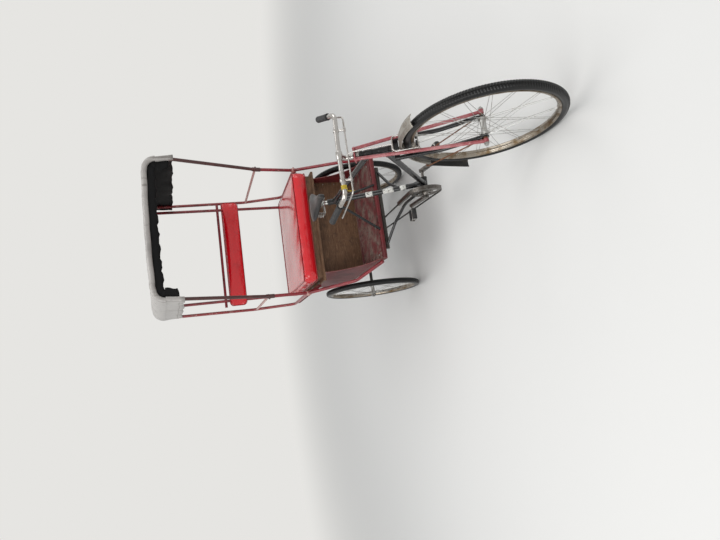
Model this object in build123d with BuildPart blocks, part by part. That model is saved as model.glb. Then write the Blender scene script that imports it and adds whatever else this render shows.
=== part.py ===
from build123d import *
from math import cos, hypot, pi, radians, sin
import os

os.makedirs("parts", exist_ok=True)

# Cycle rickshaw: one steered front wheel, a bicycle frame, and a two-seat passenger body with a
# hood over the rear axle. Millimetres, X forward, Y to the rider's left, Z up. The origin is
# on the ground below the middle of the vehicle's length.

# Wheels
wheel_radius = 355
tyre_width = 40
tyre_depth = 38
tyre_sides = 96
rim_width = 32
rim_depth = 13
spoke_count = 36
spoke_size = 2.6
front_flange = 20
rear_flange = 24
flange_spread = 33
hub_half = 40
front_axle_radius = 5
hub_radius = 14
wheelbase = 1790
track = 870

# Passenger body
hood_rear = 500
hood_front = 500
hood_half = 455
hood_top = 1870
hood_rise = 90
hood_corner = 82
hood_skin = 6
flap_front = 1690
flap_rear = 1755
deck_half = 385
deck_top = 800
deck_front = 330
body_rear = -380
body_half = 335
floor_front = 660
floor_top = 486
sheet = 3
base_height = 42
cushion_height = 95
hoop_radius = 11
hoop_half = 438
arm_height = 1165
side_tube_rise = 93
side_run = 445

# Chassis below the body
rail_radius = 16
rail_spread = 210
rail_height = 440
socket_radius = 13
socket_depth = 120
axle_radius = 11
spring_width = 45
spring_half = 340

# Bicycle frame
tube_radius = 14.5
bracket_ahead = 1085
bracket_height = 330
bracket_width = 70
seat_angle = 62
seat_cluster = 800
post_rise = 40
saddle_depth = 42

# Steering
head_angle = 65
rake = 60
head_low = 412
head_high = 560
head_radius = 18
steerer_radius = 12.5
fork_spread = 47
truss_foot = 68
bar_reach = 640
bar_radius = 11

# Cranks and chain
pitch = 12.7
chainring_teeth = 44
sprocket_teeth = 18
chain_line = 50
crank_length = 165
crank_turn = 172
pedal_line = 132

# Clearances
bearing_gap = 0.05
chain_gap = 1.2

rear_x = (hood_rear - wheelbase - wheel_radius) / 2
front_x = rear_x + wheelbase
front_hub = Vector(front_x, 0, wheel_radius)
side_names = ((-1, "right"), (1, "left"))


def spot(ahead, side, up):
    """A point given by its distance ahead of the rear axle, its side and its height."""
    return (rear_x + ahead, side, up)


def save(piece, name):
    """Labels a finished piece and writes it to its own file."""
    piece.part.label = name
    export_step(piece.part, f"parts/{name}.step")


def tube(points, radius, bend=None, plane=Plane.XY):
    """Adds a round bar along the points to the open part, its corners turned at the bend radius."""
    with BuildLine(plane) as route:
        if bend is None:
            Polyline(*points)
        else:
            FilletPolyline(*points, radius=bend)
    with BuildSketch(route.line ^ 0) as section:
        Circle(radius)
    sweep(section.sketch, path=route.line, transition=Transition.RIGHT)


def bore(start, end, radius):
    """Cuts a round hole from start to end in the open part."""
    axis = Vector(*end) - Vector(*start)
    with BuildSketch(Plane(origin=start, z_dir=axis)) as section:
        Circle(radius)
    extrude(section.sketch, amount=axis.length, mode=Mode.SUBTRACT)


def block(low, high, mode=Mode.ADD):
    """Adds a box between two opposite corners to the open part, or cuts it."""
    middle = [(a + b) / 2 for a, b in zip(low, high)]
    size = [b - a for a, b in zip(low, high)]
    with BuildSketch(Plane.XY.offset(low[2])) as outline:
        with Locations((middle[0], middle[1])):
            Rectangle(size[0], size[1])
    extrude(outline.sketch, amount=size[2], mode=mode)


# Wheels: a tyre on a laced wire wheel. The bead seat is where the tyre meets the rim.
bead_radius = wheel_radius - tyre_depth
rim_inner = bead_radius - rim_depth


def build_tyre(centre):
    """A tyre of many flats: a tread that falls from its middle to each shoulder, and flat walls."""
    half = tyre_width / 2
    shoulder = wheel_radius - 0.3 * tyre_depth
    with BuildPart() as tyre:
        for side in (-1, 1):
            middle = Plane(origin=centre, x_dir=(1, 0, 0), z_dir=(0, side, 0))
            with BuildSketch(middle):
                RegularPolygon(wheel_radius, tyre_sides)
            with BuildSketch(middle.offset(half)):
                RegularPolygon(shoulder, tyre_sides)
            loft(ruled=True)
        wall = Plane(origin=centre - Vector(0, half, 0), x_dir=(1, 0, 0), z_dir=(0, 1, 0))
        with BuildSketch(wall):
            RegularPolygon(bead_radius, tyre_sides, major_radius=False)
        extrude(amount=tyre_width, mode=Mode.SUBTRACT)
    return tyre


def build_wire_wheel(centre, flange, hub_bore):
    """A rim, hub and crossed spokes as one laced wheel with a bored hub."""
    hub_plane = Plane(origin=centre, x_dir=(1, 0, 0), z_dir=(0, 0, 1))
    rim_half = rim_width / 2
    rim_points = (
        (bead_radius, -rim_half),
        (bead_radius, rim_half),
        (rim_inner, 0.45 * rim_half),
        (rim_inner, -0.45 * rim_half),
    )
    hub_points = (
        (hub_bore, -hub_half),
        (hub_radius + 2, -hub_half),
        (flange, -flange_spread),
        (hub_radius, -flange_spread + 8),
        (hub_radius, flange_spread - 8),
        (flange, flange_spread),
        (hub_radius + 2, hub_half),
        (hub_bore, hub_half),
    )
    with BuildPart() as wheel:
        with BuildSketch(hub_plane):
            Polygon(*rim_points, align=None)
            Polygon(*hub_points, align=None)
        revolve(axis=Axis(centre, (0, 1, 0)))
        # Each family of spokes leaves one face of one flange, ahead of or behind the hub's radius.
        per_family = spoke_count // 4
        lead = 64
        for side, turn, phase in ((-1, 1, 0), (-1, -1, 10), (1, 1, 20), (1, -1, 30)):
            planes = []
            for index in range(per_family):
                angle = radians(index * 360 / per_family + phase)
                rim_angle = angle + turn * radians(lead)
                hub_reach = flange - 3
                rim_reach = rim_inner + 2
                flange_face = side * (flange_spread + 1.6 * turn)
                hub_end = Vector(hub_reach * cos(angle), flange_face, hub_reach * sin(angle))
                rim_end = Vector(rim_reach * cos(rim_angle), side * 2.5, rim_reach * sin(rim_angle))
                planes.append(Plane(origin=Vector(*centre) + hub_end, z_dir=rim_end - hub_end))
            with BuildSketch(*planes):
                Rectangle(spoke_size, spoke_size)
            extrude(amount=(rim_end - hub_end).length)
    return wheel


wheels = (
    ("front", front_hub, front_flange, front_axle_radius + bearing_gap),
    ("rear_right", Vector(rear_x, -track / 2, wheel_radius), rear_flange, axle_radius),
    ("rear_left", Vector(rear_x, track / 2, wheel_radius), rear_flange, axle_radius + bearing_gap),
)
for place, centre, flange, hub_bore in wheels:
    save(build_tyre(centre), f"{place}_tyre")
    save(build_wire_wheel(centre, flange, hub_bore), f"{place}_wheel")

# Rear axle: one shaft through both wheels, turned by a sprocket on the chain line
axle_end = track / 2 + hub_half
with BuildPart() as axle_shaft:
    tube([spot(0, -axle_end - 18, wheel_radius), spot(0, axle_end + 18, wheel_radius)], axle_radius)
    for side, side_name in side_names:
        inner = side * (track / 2 - hub_half)
        outer = side * axle_end
        gap = side * (1 if side > 0 else 0)
        tube([spot(0, inner - side * 14, wheel_radius), spot(0, inner - gap, wheel_radius)], axle_radius + 5)
        tube([spot(0, outer + gap, wheel_radius), spot(0, outer + side * 12, wheel_radius)], axle_radius + 5)
save(axle_shaft, "axle_shaft")


def pitch_radius(teeth):
    """The radius of the circle through the chain's rivets on a sprocket."""
    return pitch / (2 * sin(pi / teeth))


chain_height = 8.4


def toothed_disc(centre, teeth, thickness):
    """Adds a sprocket's toothed outline, standing on the XZ plane at its centre, to the open part."""
    tip = pitch_radius(teeth) - chain_height / 2 - chain_gap
    root = tip - 3.2
    outline = []
    for index in range(2 * teeth):
        radius = root if index % 2 else tip
        angle = radians(index * 180 / teeth)
        outline.append((radius * cos(angle), radius * sin(angle)))
    face = Plane(origin=(centre[0], centre[1] - thickness / 2, centre[2]), x_dir=(1, 0, 0), z_dir=(0, 1, 0))
    with BuildSketch(face) as teeth_sketch:
        Polygon(*outline, align=None)
    extrude(teeth_sketch.sketch, amount=thickness)


with BuildPart() as sprocket:
    toothed_disc(spot(0, -chain_line, wheel_radius), sprocket_teeth, 3)
    tube([spot(0, -chain_line - 14, wheel_radius), spot(0, -chain_line + 14, wheel_radius)], axle_radius + 9)
    bore(spot(0, -chain_line - 15, wheel_radius), spot(0, -chain_line + 15, wheel_radius), axle_radius)
save(sprocket, "sprocket")

# Cranks: the chainring on its spindle, two arms, two pedals
bracket = spot(bracket_ahead, 0, bracket_height)
shell_radius = 20
spindle_radius = 8
arm_line = 78


def crank_end(turn):
    """The crank's far end, turned from straight ahead towards up."""
    angle = radians(turn)
    return (bracket[0] + crank_length * cos(angle), bracket[2] + crank_length * sin(angle))


with BuildPart() as chainring:
    toothed_disc((bracket[0], -chain_line, bracket[2]), chainring_teeth, 3)
    face = Plane(origin=(bracket[0], -chain_line - 5, bracket[2]), x_dir=(1, 0, 0), z_dir=(0, 1, 0))
    with BuildSketch(face):
        with PolarLocations(54, 5):
            SlotOverall(34, 22, rotation=90)
    extrude(amount=10, mode=Mode.SUBTRACT)
    bore((bracket[0], -chain_line - 5, bracket[2]), (bracket[0], -chain_line + 5, bracket[2]), spindle_radius)
save(chainring, "chainring")

with BuildPart() as cranks:
    tube([(bracket[0], -arm_line - 8, bracket[2]), (bracket[0], arm_line + 8, bracket[2])], spindle_radius)
    for side, turn in ((-1, crank_turn), (1, crank_turn + 180)):
        end_x, end_z = crank_end(turn)
        middle_y = side * arm_line
        arm_plane = Plane(
            origin=(bracket[0], middle_y - 7, bracket[2]),
            x_dir=(end_x - bracket[0], 0, end_z - bracket[2]),
            z_dir=(0, 1, 0),
        )
        with BuildSketch(arm_plane):
            with BuildLine():
                Polyline((0, -15), (crank_length, -11), (crank_length, 11), (0, 15), (0, -15))
            make_face()
            Circle(17)
            with Locations((crank_length, 0)):
                Circle(12)
        extrude(amount=14)
        tube([(end_x, side * (arm_line + 6), end_z), (end_x, side * (pedal_line + 42), end_z)], 5)
save(cranks, "cranks")

for side, side_name in side_names:
    turn = crank_turn if side < 0 else crank_turn + 180
    end_x, end_z = crank_end(turn)
    middle = side * (pedal_line + 2)
    with BuildPart() as pedal:
        tube([(end_x, middle - 34, end_z), (end_x, middle + 34, end_z)], 11)
        for plate in (-34, 34):
            y = middle + plate
            block((end_x - 30, y - 2, end_z - 12), (end_x + 30, y + 2, end_z + 12))
        for ahead in (-24, 24):
            block(
                (end_x + ahead - 6, middle - 34, end_z - 12),
                (end_x + ahead + 6, middle + 34, end_z + 12),
            )
        bore((end_x, middle - 40, end_z), (end_x, middle + 40, end_z), 5 + bearing_gap)
    save(pedal, f"pedal_{side_name}")

# Chain: single links laid along the pitch line, narrow and wide links in turn
big = pitch_radius(chainring_teeth)
small = pitch_radius(sprocket_teeth)
run = hypot(bracket_ahead, bracket_height - wheel_radius)


def chain_route():
    """The pitch line: two straight runs and two arcs, as one closed wire on the XZ plane."""
    first = Vector(rear_x, wheel_radius)
    second = Vector(bracket[0], bracket[2])
    with BuildLine() as line:
        ring = CenterArc(second, big, 0, 360, mode=Mode.PRIVATE)
        cog = CenterArc(first, small, 0, 360, mode=Mode.PRIVATE)
        along = (second - first).normalized()
        across = Vector(-along.Y, along.X)
        lean = (big - small) / run
        rise = (1 - lean**2) ** 0.5
        upper = across * rise - along * lean
        lower = across * -rise - along * lean
        top_back = first + upper * small
        top_ahead = second + upper * big
        low_back = first + lower * small
        low_ahead = second + lower * big
        Line(top_back, top_ahead)
        ThreePointArc(top_ahead, second + along * big, low_ahead)
        Line(low_ahead, low_back)
        ThreePointArc(low_back, first - along * small, top_back)
    return line


loop = chain_route().wire()
link_count = 2 * round(loop.length / pitch / 2)
link_families = {}
for index in range(link_count):
    start, end = (loop.position_at(place / link_count) for place in (index, index + 1))
    turn = loop.tangent_at(index / link_count).get_angle(loop.tangent_at((index + 1) / link_count))
    ahead = end - start
    middle = (start + end) / 2
    width = 8 if index % 2 else 5.6
    length = round(ahead.length - 0.3 - chain_height * sin(radians(turn)), 1)
    link_plane = Plane(
        origin=(middle.X, -chain_line - width / 2, middle.Y), x_dir=(ahead.X, 0, ahead.Y), z_dir=(0, 1, 0)
    )
    link_families.setdefault((width, length), []).append(link_plane)
with BuildPart() as chain:
    for (width, length), planes in link_families.items():
        with BuildSketch(*planes):
            Rectangle(length, chain_height)
        extrude(amount=width)
save(chain, "chain")

# Chain guard: a bright channel over the top and front of the chainring
guard_radius = big + 15
guard_tail = 190
with BuildPart() as chain_guard:
    for depth, low_y, high_y in ((2, -66, -44), (14, -66, -64)):
        with BuildSketch(Plane(origin=(bracket[0], high_y, bracket[2]), x_dir=(1, 0, 0), z_dir=(0, -1, 0))):
            with BuildLine():
                outer = CenterArc((0, 0), guard_radius, -35, 126)
                inner = CenterArc((0, 0), guard_radius - depth, -35, 126)
                Line(outer @ 0, inner @ 0)
                outer_tail = Line(outer @ 1, (outer @ 1) + (outer % 1) * guard_tail)
                inner_tail = Line(inner @ 1, (inner @ 1) + (inner % 1) * guard_tail)
                Line(outer_tail @ 1, inner_tail @ 1)
            make_face()
        extrude(amount=high_y - low_y)
save(chain_guard, "chain_guard")

# Bicycle frame: bracket shell and seat tube, down tube, top tube and head tube. Heights on the
# head are measured along the steering axis from the point level with the front axle.
lean = radians(head_angle)
steer_foot = front_hub - Vector(sin(lean), 0, cos(lean)) * rake
steer = Plane(origin=steer_foot, x_dir=(sin(lean), 0, cos(lean)), z_dir=(-cos(lean), 0, sin(lean)))


def on_head(height):
    """A point on the steering axis."""
    return steer.from_local_coords((0, 0, height))


seat_run = (seat_cluster - bracket_height) / sin(radians(seat_angle))
seat_way = Vector(-cos(radians(seat_angle)), 0, sin(radians(seat_angle)))
seat_lug = Vector(*bracket) + seat_way * seat_run
seat_top = seat_lug + seat_way * 40

with BuildPart() as head_tube:
    tube([on_head(head_low), on_head(head_high)], head_radius)
    tube([on_head(head_low), on_head(head_low + 12)], head_radius + 4)
    tube([on_head(head_high - 12), on_head(head_high)], head_radius + 4)
    bore(on_head(head_low - 1), on_head(head_high + 1), steerer_radius + bearing_gap)
save(head_tube, "head_tube")

shell_right = (bracket[0], -bracket_width / 2, bracket[2])
shell_left = (bracket[0], bracket_width / 2, bracket[2])
with BuildPart() as seat_tube:
    tube([bracket, seat_top], tube_radius)
    tube([shell_right, shell_left], shell_radius)
    bore(shell_right, shell_left, spindle_radius + bearing_gap)
save(seat_tube, "seat_tube")

with BuildPart() as down_tube:
    tube([bracket, on_head(head_low + 34)], tube_radius)
    bore(bracket, seat_top, tube_radius)
    bore(shell_right, shell_left, shell_radius)
    bore(on_head(head_low), on_head(head_high), head_radius)
save(down_tube, "down_tube")

with BuildPart() as top_tube:
    tube([seat_lug, on_head(head_high - 42)], tube_radius - 1.5)
    bore(bracket, seat_top, tube_radius)
    bore(on_head(head_low), on_head(head_high), head_radius)
save(top_tube, "top_tube")

# The lower stays run back from the bracket shell between the cranks, then bend out to the ends of
# the chassis' front cross member. The upper pair drops from the seat lug to the floor's front rail.
front_member = floor_front - 10
member_half = rail_spread + 60
rail_drop = 14
front_rail_ahead = floor_front + rail_drop
front_rail_height = floor_top - rail_drop
front_rail_ends = [
    spot(front_rail_ahead, -body_half, front_rail_height),
    spot(front_rail_ahead, body_half, front_rail_height),
]
stay_root = 24
stay_foot = 150
stay_radius = 9
knee_ahead = bracket_ahead - 225
elbow_ahead = front_member + 90
with BuildPart() as frame_stays:
    for side, side_name in side_names:
        tube(
            [
                (bracket[0], side * stay_root, bracket[2]),
                spot(knee_ahead, side * (stay_root + 21), bracket_height + 35),
                spot(elbow_ahead, side * rail_spread * 0.62, rail_height - 40),
                spot(front_member, side * (member_half - 20), rail_height),
            ],
            stay_radius,
            bend=110,
        )
    member_ends = [spot(front_member, side * member_half, rail_height) for side, side_name in side_names]
    bore(shell_right, shell_left, shell_radius)
    bore(*member_ends, rail_radius)
    for side, side_name in side_names:
        foot = spot(front_rail_ahead, side * stay_foot, front_rail_height)
        tube([(seat_lug.X, side * 10, seat_lug.Z - 6), foot], stay_radius - 1)
    bore(bracket, seat_top, tube_radius)
    bore(*front_rail_ends, rail_drop)
save(frame_stays, "frame_stays")

saddle_ahead = seat_top.X - rear_x - 30
post_top = seat_top + seat_way * post_rise
clamp_height = 16
saddle_base = post_top.Z + clamp_height - 4
with BuildPart() as seat_post:
    tube([seat_top, post_top], tube_radius - 2.5)
    with BuildSketch(Plane.XY.offset(saddle_base - clamp_height)):
        with Locations((post_top.X, 0)):
            Rectangle(60, 30)
    extrude(amount=clamp_height)
save(seat_post, "seat_post")

with BuildPart() as saddle:
    with BuildSketch(Plane(origin=spot(saddle_ahead, 0, saddle_base))):
        with BuildLine():
            right_edge = Polyline((160, -18), (20, -30), (-55, -88), (-105, -80))
            left_edge = Polyline((160, 18), (20, 30), (-55, 88), (-105, 80))
            Line(right_edge @ 0, left_edge @ 0)
            Line(right_edge @ 1, left_edge @ 1)
        make_face()
        fillet(vertices(), 12)
    extrude(amount=saddle_depth)
    chamfer(saddle.faces().sort_by(Axis.Z)[-1].edges(), 10)
save(saddle, "saddle")

# Chassis: two rails, cross members, leaf springs and axle bearings
rail_ends = (body_rear - 20, front_member)
with BuildPart() as chassis_rails:
    for side, side_name in side_names:
        y = side * rail_spread
        rail_end = spot(rail_ends[0], y, rail_height)
        tube([rail_end, spot(rail_ends[1] - rail_radius, y, rail_height)], rail_radius)
        bore(rail_end, spot(rail_ends[0] + socket_depth, y, rail_height), socket_radius)
save(chassis_rails, "chassis_rails")

member_places = (body_rear + 30, 150, front_member)
with BuildPart() as cross_members:
    for ahead in member_places:
        half = member_half if ahead == front_member else rail_spread - rail_radius
        tube([spot(ahead, -half, rail_height), spot(ahead, half, rail_height)], rail_radius)
save(cross_members, "cross_members")

bearing_top = wheel_radius + 26
with BuildPart() as axle_bearings:
    for side, side_name in side_names:
        y = side * rail_spread
        block(spot(-34, y - 20, wheel_radius - 24), spot(34, y + 20, bearing_top))
    shaft_ends = [spot(0, -rail_spread - 30, wheel_radius), spot(0, rail_spread + 30, wheel_radius)]
    bore(*shaft_ends, axle_radius + bearing_gap)
save(axle_bearings, "axle_bearings")

# Each spring is a stack of three curved leaves, shorter from the top down.
spring_rise = rail_height - rail_radius - 2 - bearing_top
leaf = 5
with BuildPart() as leaf_springs:
    for side, side_name in side_names:
        y = side * rail_spread
        face = Plane(origin=spot(0, y + spring_width / 2, bearing_top), x_dir=(1, 0, 0), z_dir=(0, -1, 0))
        for order, half in enumerate((spring_half * 0.45, spring_half * 0.72, spring_half)):
            low = order * leaf
            top = low + leaf
            rise = (spring_rise - 3 * leaf) * (half / spring_half) ** 2
            with BuildSketch(face) as leaf_face:
                with BuildLine():
                    under = ThreePointArc((-half, low + rise), (0, low), (half, low + rise))
                    over = ThreePointArc((-half, top + rise), (0, top), (half, top + rise))
                    Line(under @ 0, over @ 0)
                    Line(under @ 1, over @ 1)
                make_face()
            extrude(leaf_face.sketch, amount=spring_width)
        for end in (-spring_half, spring_half):
            block(
                spot(end - 18, y - 12, bearing_top + spring_rise - 12),
                spot(end + 18, y + 12, rail_height),
            )
    for side, side_name in side_names:
        y = side * rail_spread
        bore(spot(-spring_half - 40, y, rail_height), spot(spring_half + 40, y, rail_height), rail_radius)
save(leaf_springs, "leaf_springs")

# Passenger body: a floor pan on a square-tube frame with two cross strips to brace the feet,
# sheet sides, seat board, deck and back sheet
frame_low = rail_height + rail_radius
frame_bar = 25
strip_width = 22
strip_height = 6
with BuildPart() as floor_pan:
    block(spot(body_rear, -body_half, frame_low), spot(floor_front, body_half, floor_top))
    block(
        spot(body_rear + frame_bar, -body_half + frame_bar, frame_low),
        spot(floor_front - frame_bar, body_half - frame_bar, floor_top - sheet),
        mode=Mode.SUBTRACT,
    )
    for ahead in (floor_front - 205, floor_front - 380):
        block(
            spot(ahead - strip_width / 2, -body_half + 30, floor_top),
            spot(ahead + strip_width / 2, body_half - 30, floor_top + strip_height),
        )
save(floor_pan, "floor_pan")

with BuildPart() as front_rail:
    tube(front_rail_ends, rail_drop)
save(front_rail, "front_rail")

board_ahead = 235
deck_low = deck_top - 15
panel_nose = (floor_front - 15, floor_top + 25)
with BuildPart() as side_sheets:
    left_face = Plane(origin=(rear_x, body_half, 0), x_dir=(1, 0, 0), z_dir=(0, -1, 0))
    right_face = Plane(origin=(rear_x, sheet - body_half, 0), x_dir=(1, 0, 0), z_dir=(0, -1, 0))
    with BuildSketch(left_face, right_face):
        with BuildLine():
            Line((deck_front, deck_low), (body_rear, deck_low))
            Line((body_rear, deck_low), (body_rear, floor_top))
            Line((body_rear, floor_top), (panel_nose[0], floor_top))
            Line((panel_nose[0], floor_top), panel_nose)
            ThreePointArc(panel_nose, (deck_front + 90, floor_top + 130), (deck_front, deck_low))
        make_face()
    extrude(amount=sheet)
save(side_sheets, "side_sheets")

with BuildPart() as back_sheet:
    block(
        spot(body_rear, -body_half + sheet, floor_top),
        spot(body_rear + sheet, body_half - sheet, deck_low),
    )
save(back_sheet, "back_sheet")

with BuildPart() as seat_board:
    block(
        spot(board_ahead, -body_half + sheet, floor_top),
        spot(board_ahead + 12, body_half - sheet, deck_low),
    )
save(seat_board, "seat_board")

with BuildPart() as seat_deck:
    block(spot(body_rear, -deck_half, deck_low), spot(deck_front, deck_half, deck_top))
save(seat_deck, "seat_deck")

# Hood frame: the rear hoop runs on down into the side tubes, the front hoop stands on the side
# pillars, and slats join the two hoops under the hood. The roof rises towards the rear.
side_tube_height = deck_top + side_tube_rise
rear_bar = 30 - hood_rear
front_bar = hood_front - 35
pillar_ahead = 245
clamp_ahead = 212
leg_lean = 95
leg_bend = arm_height + 40
hoop_bend = hood_corner - hood_skin - hoop_radius
roof_slope = hood_rise / (hood_rear + hood_front)


def roof(ahead):
    """The height of the hood's outer face over a point ahead of the rear axle."""
    return hood_top + roof_slope * (hood_front - ahead)


def under_roof(ahead, radius):
    """The centre height of a round bar that touches the hood from below."""
    return roof(ahead) - hood_skin - radius * hypot(1, roof_slope)


front_bar_height = under_roof(front_bar, hoop_radius)
rear_bar_height = under_roof(rear_bar, hoop_radius)

with BuildPart() as rear_hoop:
    tube(
        [
            spot(clamp_ahead - hoop_radius, -side_run, side_tube_height),
            spot(rear_bar + leg_lean, -side_run, side_tube_height),
            spot(rear_bar, -side_run, leg_bend),
            spot(rear_bar, -hoop_half, flap_rear),
            spot(rear_bar, -hoop_half, rear_bar_height),
            spot(rear_bar, hoop_half, rear_bar_height),
            spot(rear_bar, hoop_half, flap_rear),
            spot(rear_bar, side_run, leg_bend),
            spot(rear_bar + leg_lean, side_run, side_tube_height),
            spot(clamp_ahead - hoop_radius, side_run, side_tube_height),
        ],
        hoop_radius,
        bend=hoop_bend,
    )
save(rear_hoop, "rear_hoop")

with BuildPart() as front_hoop:
    tube(
        [
            spot(pillar_ahead, -side_run, arm_height),
            spot(front_bar, -hoop_half, flap_front),
            spot(front_bar, -hoop_half, front_bar_height),
            spot(front_bar, hoop_half, front_bar_height),
            spot(front_bar, hoop_half, flap_front),
            spot(pillar_ahead, side_run, arm_height),
        ],
        hoop_radius,
        bend=hoop_bend,
    )
save(front_hoop, "front_hoop")

pillar_knee = (deck_front + 70, side_run - 25, (floor_top + deck_top) / 2 - 43)
with BuildPart() as side_pillars:
    for side, side_name in side_names:
        tube(
            [
                spot(pillar_ahead, side * side_run, arm_height),
                spot(clamp_ahead, side * side_run, side_tube_height),
                spot(pillar_knee[0], side * pillar_knee[1], pillar_knee[2]),
                spot(floor_front - 30, side * (body_half + hoop_radius), floor_top - 10),
            ],
            hoop_radius,
            bend=90,
        )
    for piece in (rear_hoop, front_hoop, floor_pan, side_sheets):
        add(piece.part, mode=Mode.SUBTRACT)
save(side_pillars, "side_pillars")

arm_rear_height = arm_height + 22
arm_lean = leg_lean * (leg_bend - arm_rear_height) / (leg_bend - side_tube_height)
with BuildPart() as armrests:
    for side, side_name in side_names:
        tube(
            [
                spot(rear_bar + arm_lean, side * side_run, arm_rear_height),
                spot(pillar_ahead, side * side_run, arm_rear_height - 18),
            ],
            hoop_radius - 2.5,
        )
    for piece in (rear_hoop, front_hoop, side_pillars):
        add(piece.part, mode=Mode.SUBTRACT)
save(armrests, "armrests")

with BuildPart() as tube_brackets:
    for side, side_name in side_names:
        for ahead in (-300, -70, 150):
            with BuildSketch(Plane(origin=spot(ahead, 0, 0), x_dir=(0, 1, 0), z_dir=(1, 0, 0))):
                with BuildLine():
                    Polyline(
                        (side * deck_half, deck_low),
                        (side * deck_half, deck_top),
                        (side * (side_run - 10), side_tube_height),
                        (side * (side_run + 6), side_tube_height),
                        (side * (side_run + 6), side_tube_height - 25),
                        (side * (deck_half + 16), deck_low),
                        close=True,
                    )
                make_face()
            extrude(amount=8)
    add(rear_hoop.part, mode=Mode.SUBTRACT)
save(tube_brackets, "tube_brackets")

with BuildPart() as hood_slats:
    for across in (-hoop_half / 2, 0, hoop_half / 2):
        slat_ends = [spot(rear_bar, across, rear_bar_height), spot(front_bar, across, front_bar_height)]
        tube(slat_ends, hoop_radius - 3)
    for ahead, height in ((rear_bar, rear_bar_height), (front_bar, front_bar_height)):
        bore(spot(ahead, -hoop_half, height), spot(ahead, hoop_half, height), hoop_radius)
save(hood_slats, "hood_slats")

# The hood's section stands at the rear and runs forward along the falling roof. A wedge below the
# two side flaps is cut away.
rear_roof = roof(-hood_rear)
run = Vector(hood_rear + hood_front, 0, -hood_rise)
with BuildPart() as hood:
    with BuildSketch(Plane(origin=spot(-hood_rear, 0, 0), x_dir=(0, 1, 0), z_dir=(1, 0, 0))):
        for half, top, corner, mode in (
            (hood_half, rear_roof, hood_corner, Mode.ADD),
            (hood_half - hood_skin, rear_roof - hood_skin, hood_corner - hood_skin, Mode.SUBTRACT),
        ):
            with BuildLine():
                Line((-half, flap_front), (-half, top - corner))
                RadiusArc((-half, top - corner), (-half + corner, top), corner)
                Line((-half + corner, top), (half - corner, top))
                RadiusArc((half - corner, top), (half, top - corner), corner)
                Line((half, top - corner), (half, flap_front))
                Line((half, flap_front), (-half, flap_front))
            make_face(mode=mode)
    extrude(amount=run.length, dir=run)
    with BuildSketch(Plane(origin=(rear_x, hood_half, 0), x_dir=(1, 0, 0), z_dir=(0, -1, 0))):
        with BuildLine():
            Polyline(
                (-hood_rear, flap_front - 1),
                (-hood_rear, flap_rear),
                (hood_front, flap_front),
                (hood_front, flap_front - hood_rise - 1),
                close=True,
            )
        make_face()
    extrude(amount=2 * hood_half, mode=Mode.SUBTRACT)
save(hood, "hood")

# Backrest: two posts up to the hood, a rail, and a narrow pad in front of them
post_spread = 365
post_back = body_rear - hoop_radius - 2
rail_top = 1420
with BuildPart() as backrest_posts:
    for side, side_name in side_names:
        post_end = spot(post_back, side * post_spread, roof(post_back + hoop_radius) - hood_skin)
        tube([spot(post_back, side * post_spread, deck_low), post_end], hoop_radius)
    for side, side_name in side_names:
        block(
            spot(post_back, side * post_spread - 12, deck_low),
            spot(body_rear, side * post_spread + 12, deck_top),
        )
save(backrest_posts, "backrest_posts")

pad_half = deck_half + 30
with BuildPart() as backrest_rail:
    tube([spot(post_back, -pad_half, rail_top), spot(post_back, pad_half, rail_top)], hoop_radius - 1)
    add(backrest_posts.part, mode=Mode.SUBTRACT)
save(backrest_rail, "backrest_rail")

pad_low = 1262
pad_high = 1395
pad_depth = 55
with BuildPart() as backrest_pad:
    block(
        spot(post_back + hoop_radius, -pad_half, pad_low),
        spot(post_back + hoop_radius + pad_depth, pad_half, pad_high),
    )
    fillet(backrest_pad.edges().filter_by(Axis.Z).group_by(Axis.X)[-1], pad_depth - 12)
    chamfer(backrest_pad.faces().sort_by(Axis.Z)[-1].edges(), 10)
save(backrest_pad, "backrest_pad")

# The cushion overhangs the board it is stuffed on.
overhang = 24
base_top = deck_top + base_height
with BuildPart() as seat_cushion:
    block(
        spot(body_rear, -deck_half, base_top),
        spot(deck_front + 10, deck_half, base_top + cushion_height),
    )
    fillet(seat_cushion.edges().filter_by(Axis.Z), 30)
    chamfer(seat_cushion.faces().sort_by(Axis.Z)[-1].edges(), 14)
    block(
        spot(body_rear, -deck_half + overhang, deck_top),
        spot(deck_front + 10 - overhang, deck_half - overhang, base_top),
    )
save(seat_cushion, "seat_cushion")

# Steering: fork, truss tubes, mudguard, brake and handlebar, all in the steering axis' own plane
crown_low = 378
crown_high = 402
steerer_top = 592
with BuildPart() as fork:
    tube([(0, 0, crown_low), (0, 0, steerer_top)], steerer_radius, plane=steer)
    tube([(0, 0, head_high + 3), (0, 0, head_high + 16)], steerer_radius + 7, plane=steer)
    with BuildSketch(steer.offset(crown_low)):
        SlotOverall(2 * fork_spread + 26, 28, rotation=90)
    extrude(amount=crown_high - crown_low)
    for side, side_name in side_names:
        tube(
            [
                (0, side * fork_spread, crown_high - 6),
                (0, side * fork_spread, 190),
                (rake - 6, side * fork_spread, 22),
            ],
            10,
            bend=220,
            plane=steer,
        )
        end_face = steer.from_local_coords((rake, side * fork_spread - 3, 0))
        with BuildSketch(Plane(origin=end_face, x_dir=steer.x_dir, z_dir=(0, 1, 0))):
            SlotCenterPoint((-3, -12), (0, -30), 22)
            Circle(12)
        extrude(amount=6)
    bore(
        steer.from_local_coords((rake, -fork_spread - 10, 0)),
        steer.from_local_coords((rake, fork_spread + 10, 0)),
        front_axle_radius,
    )
save(fork, "fork")

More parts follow.
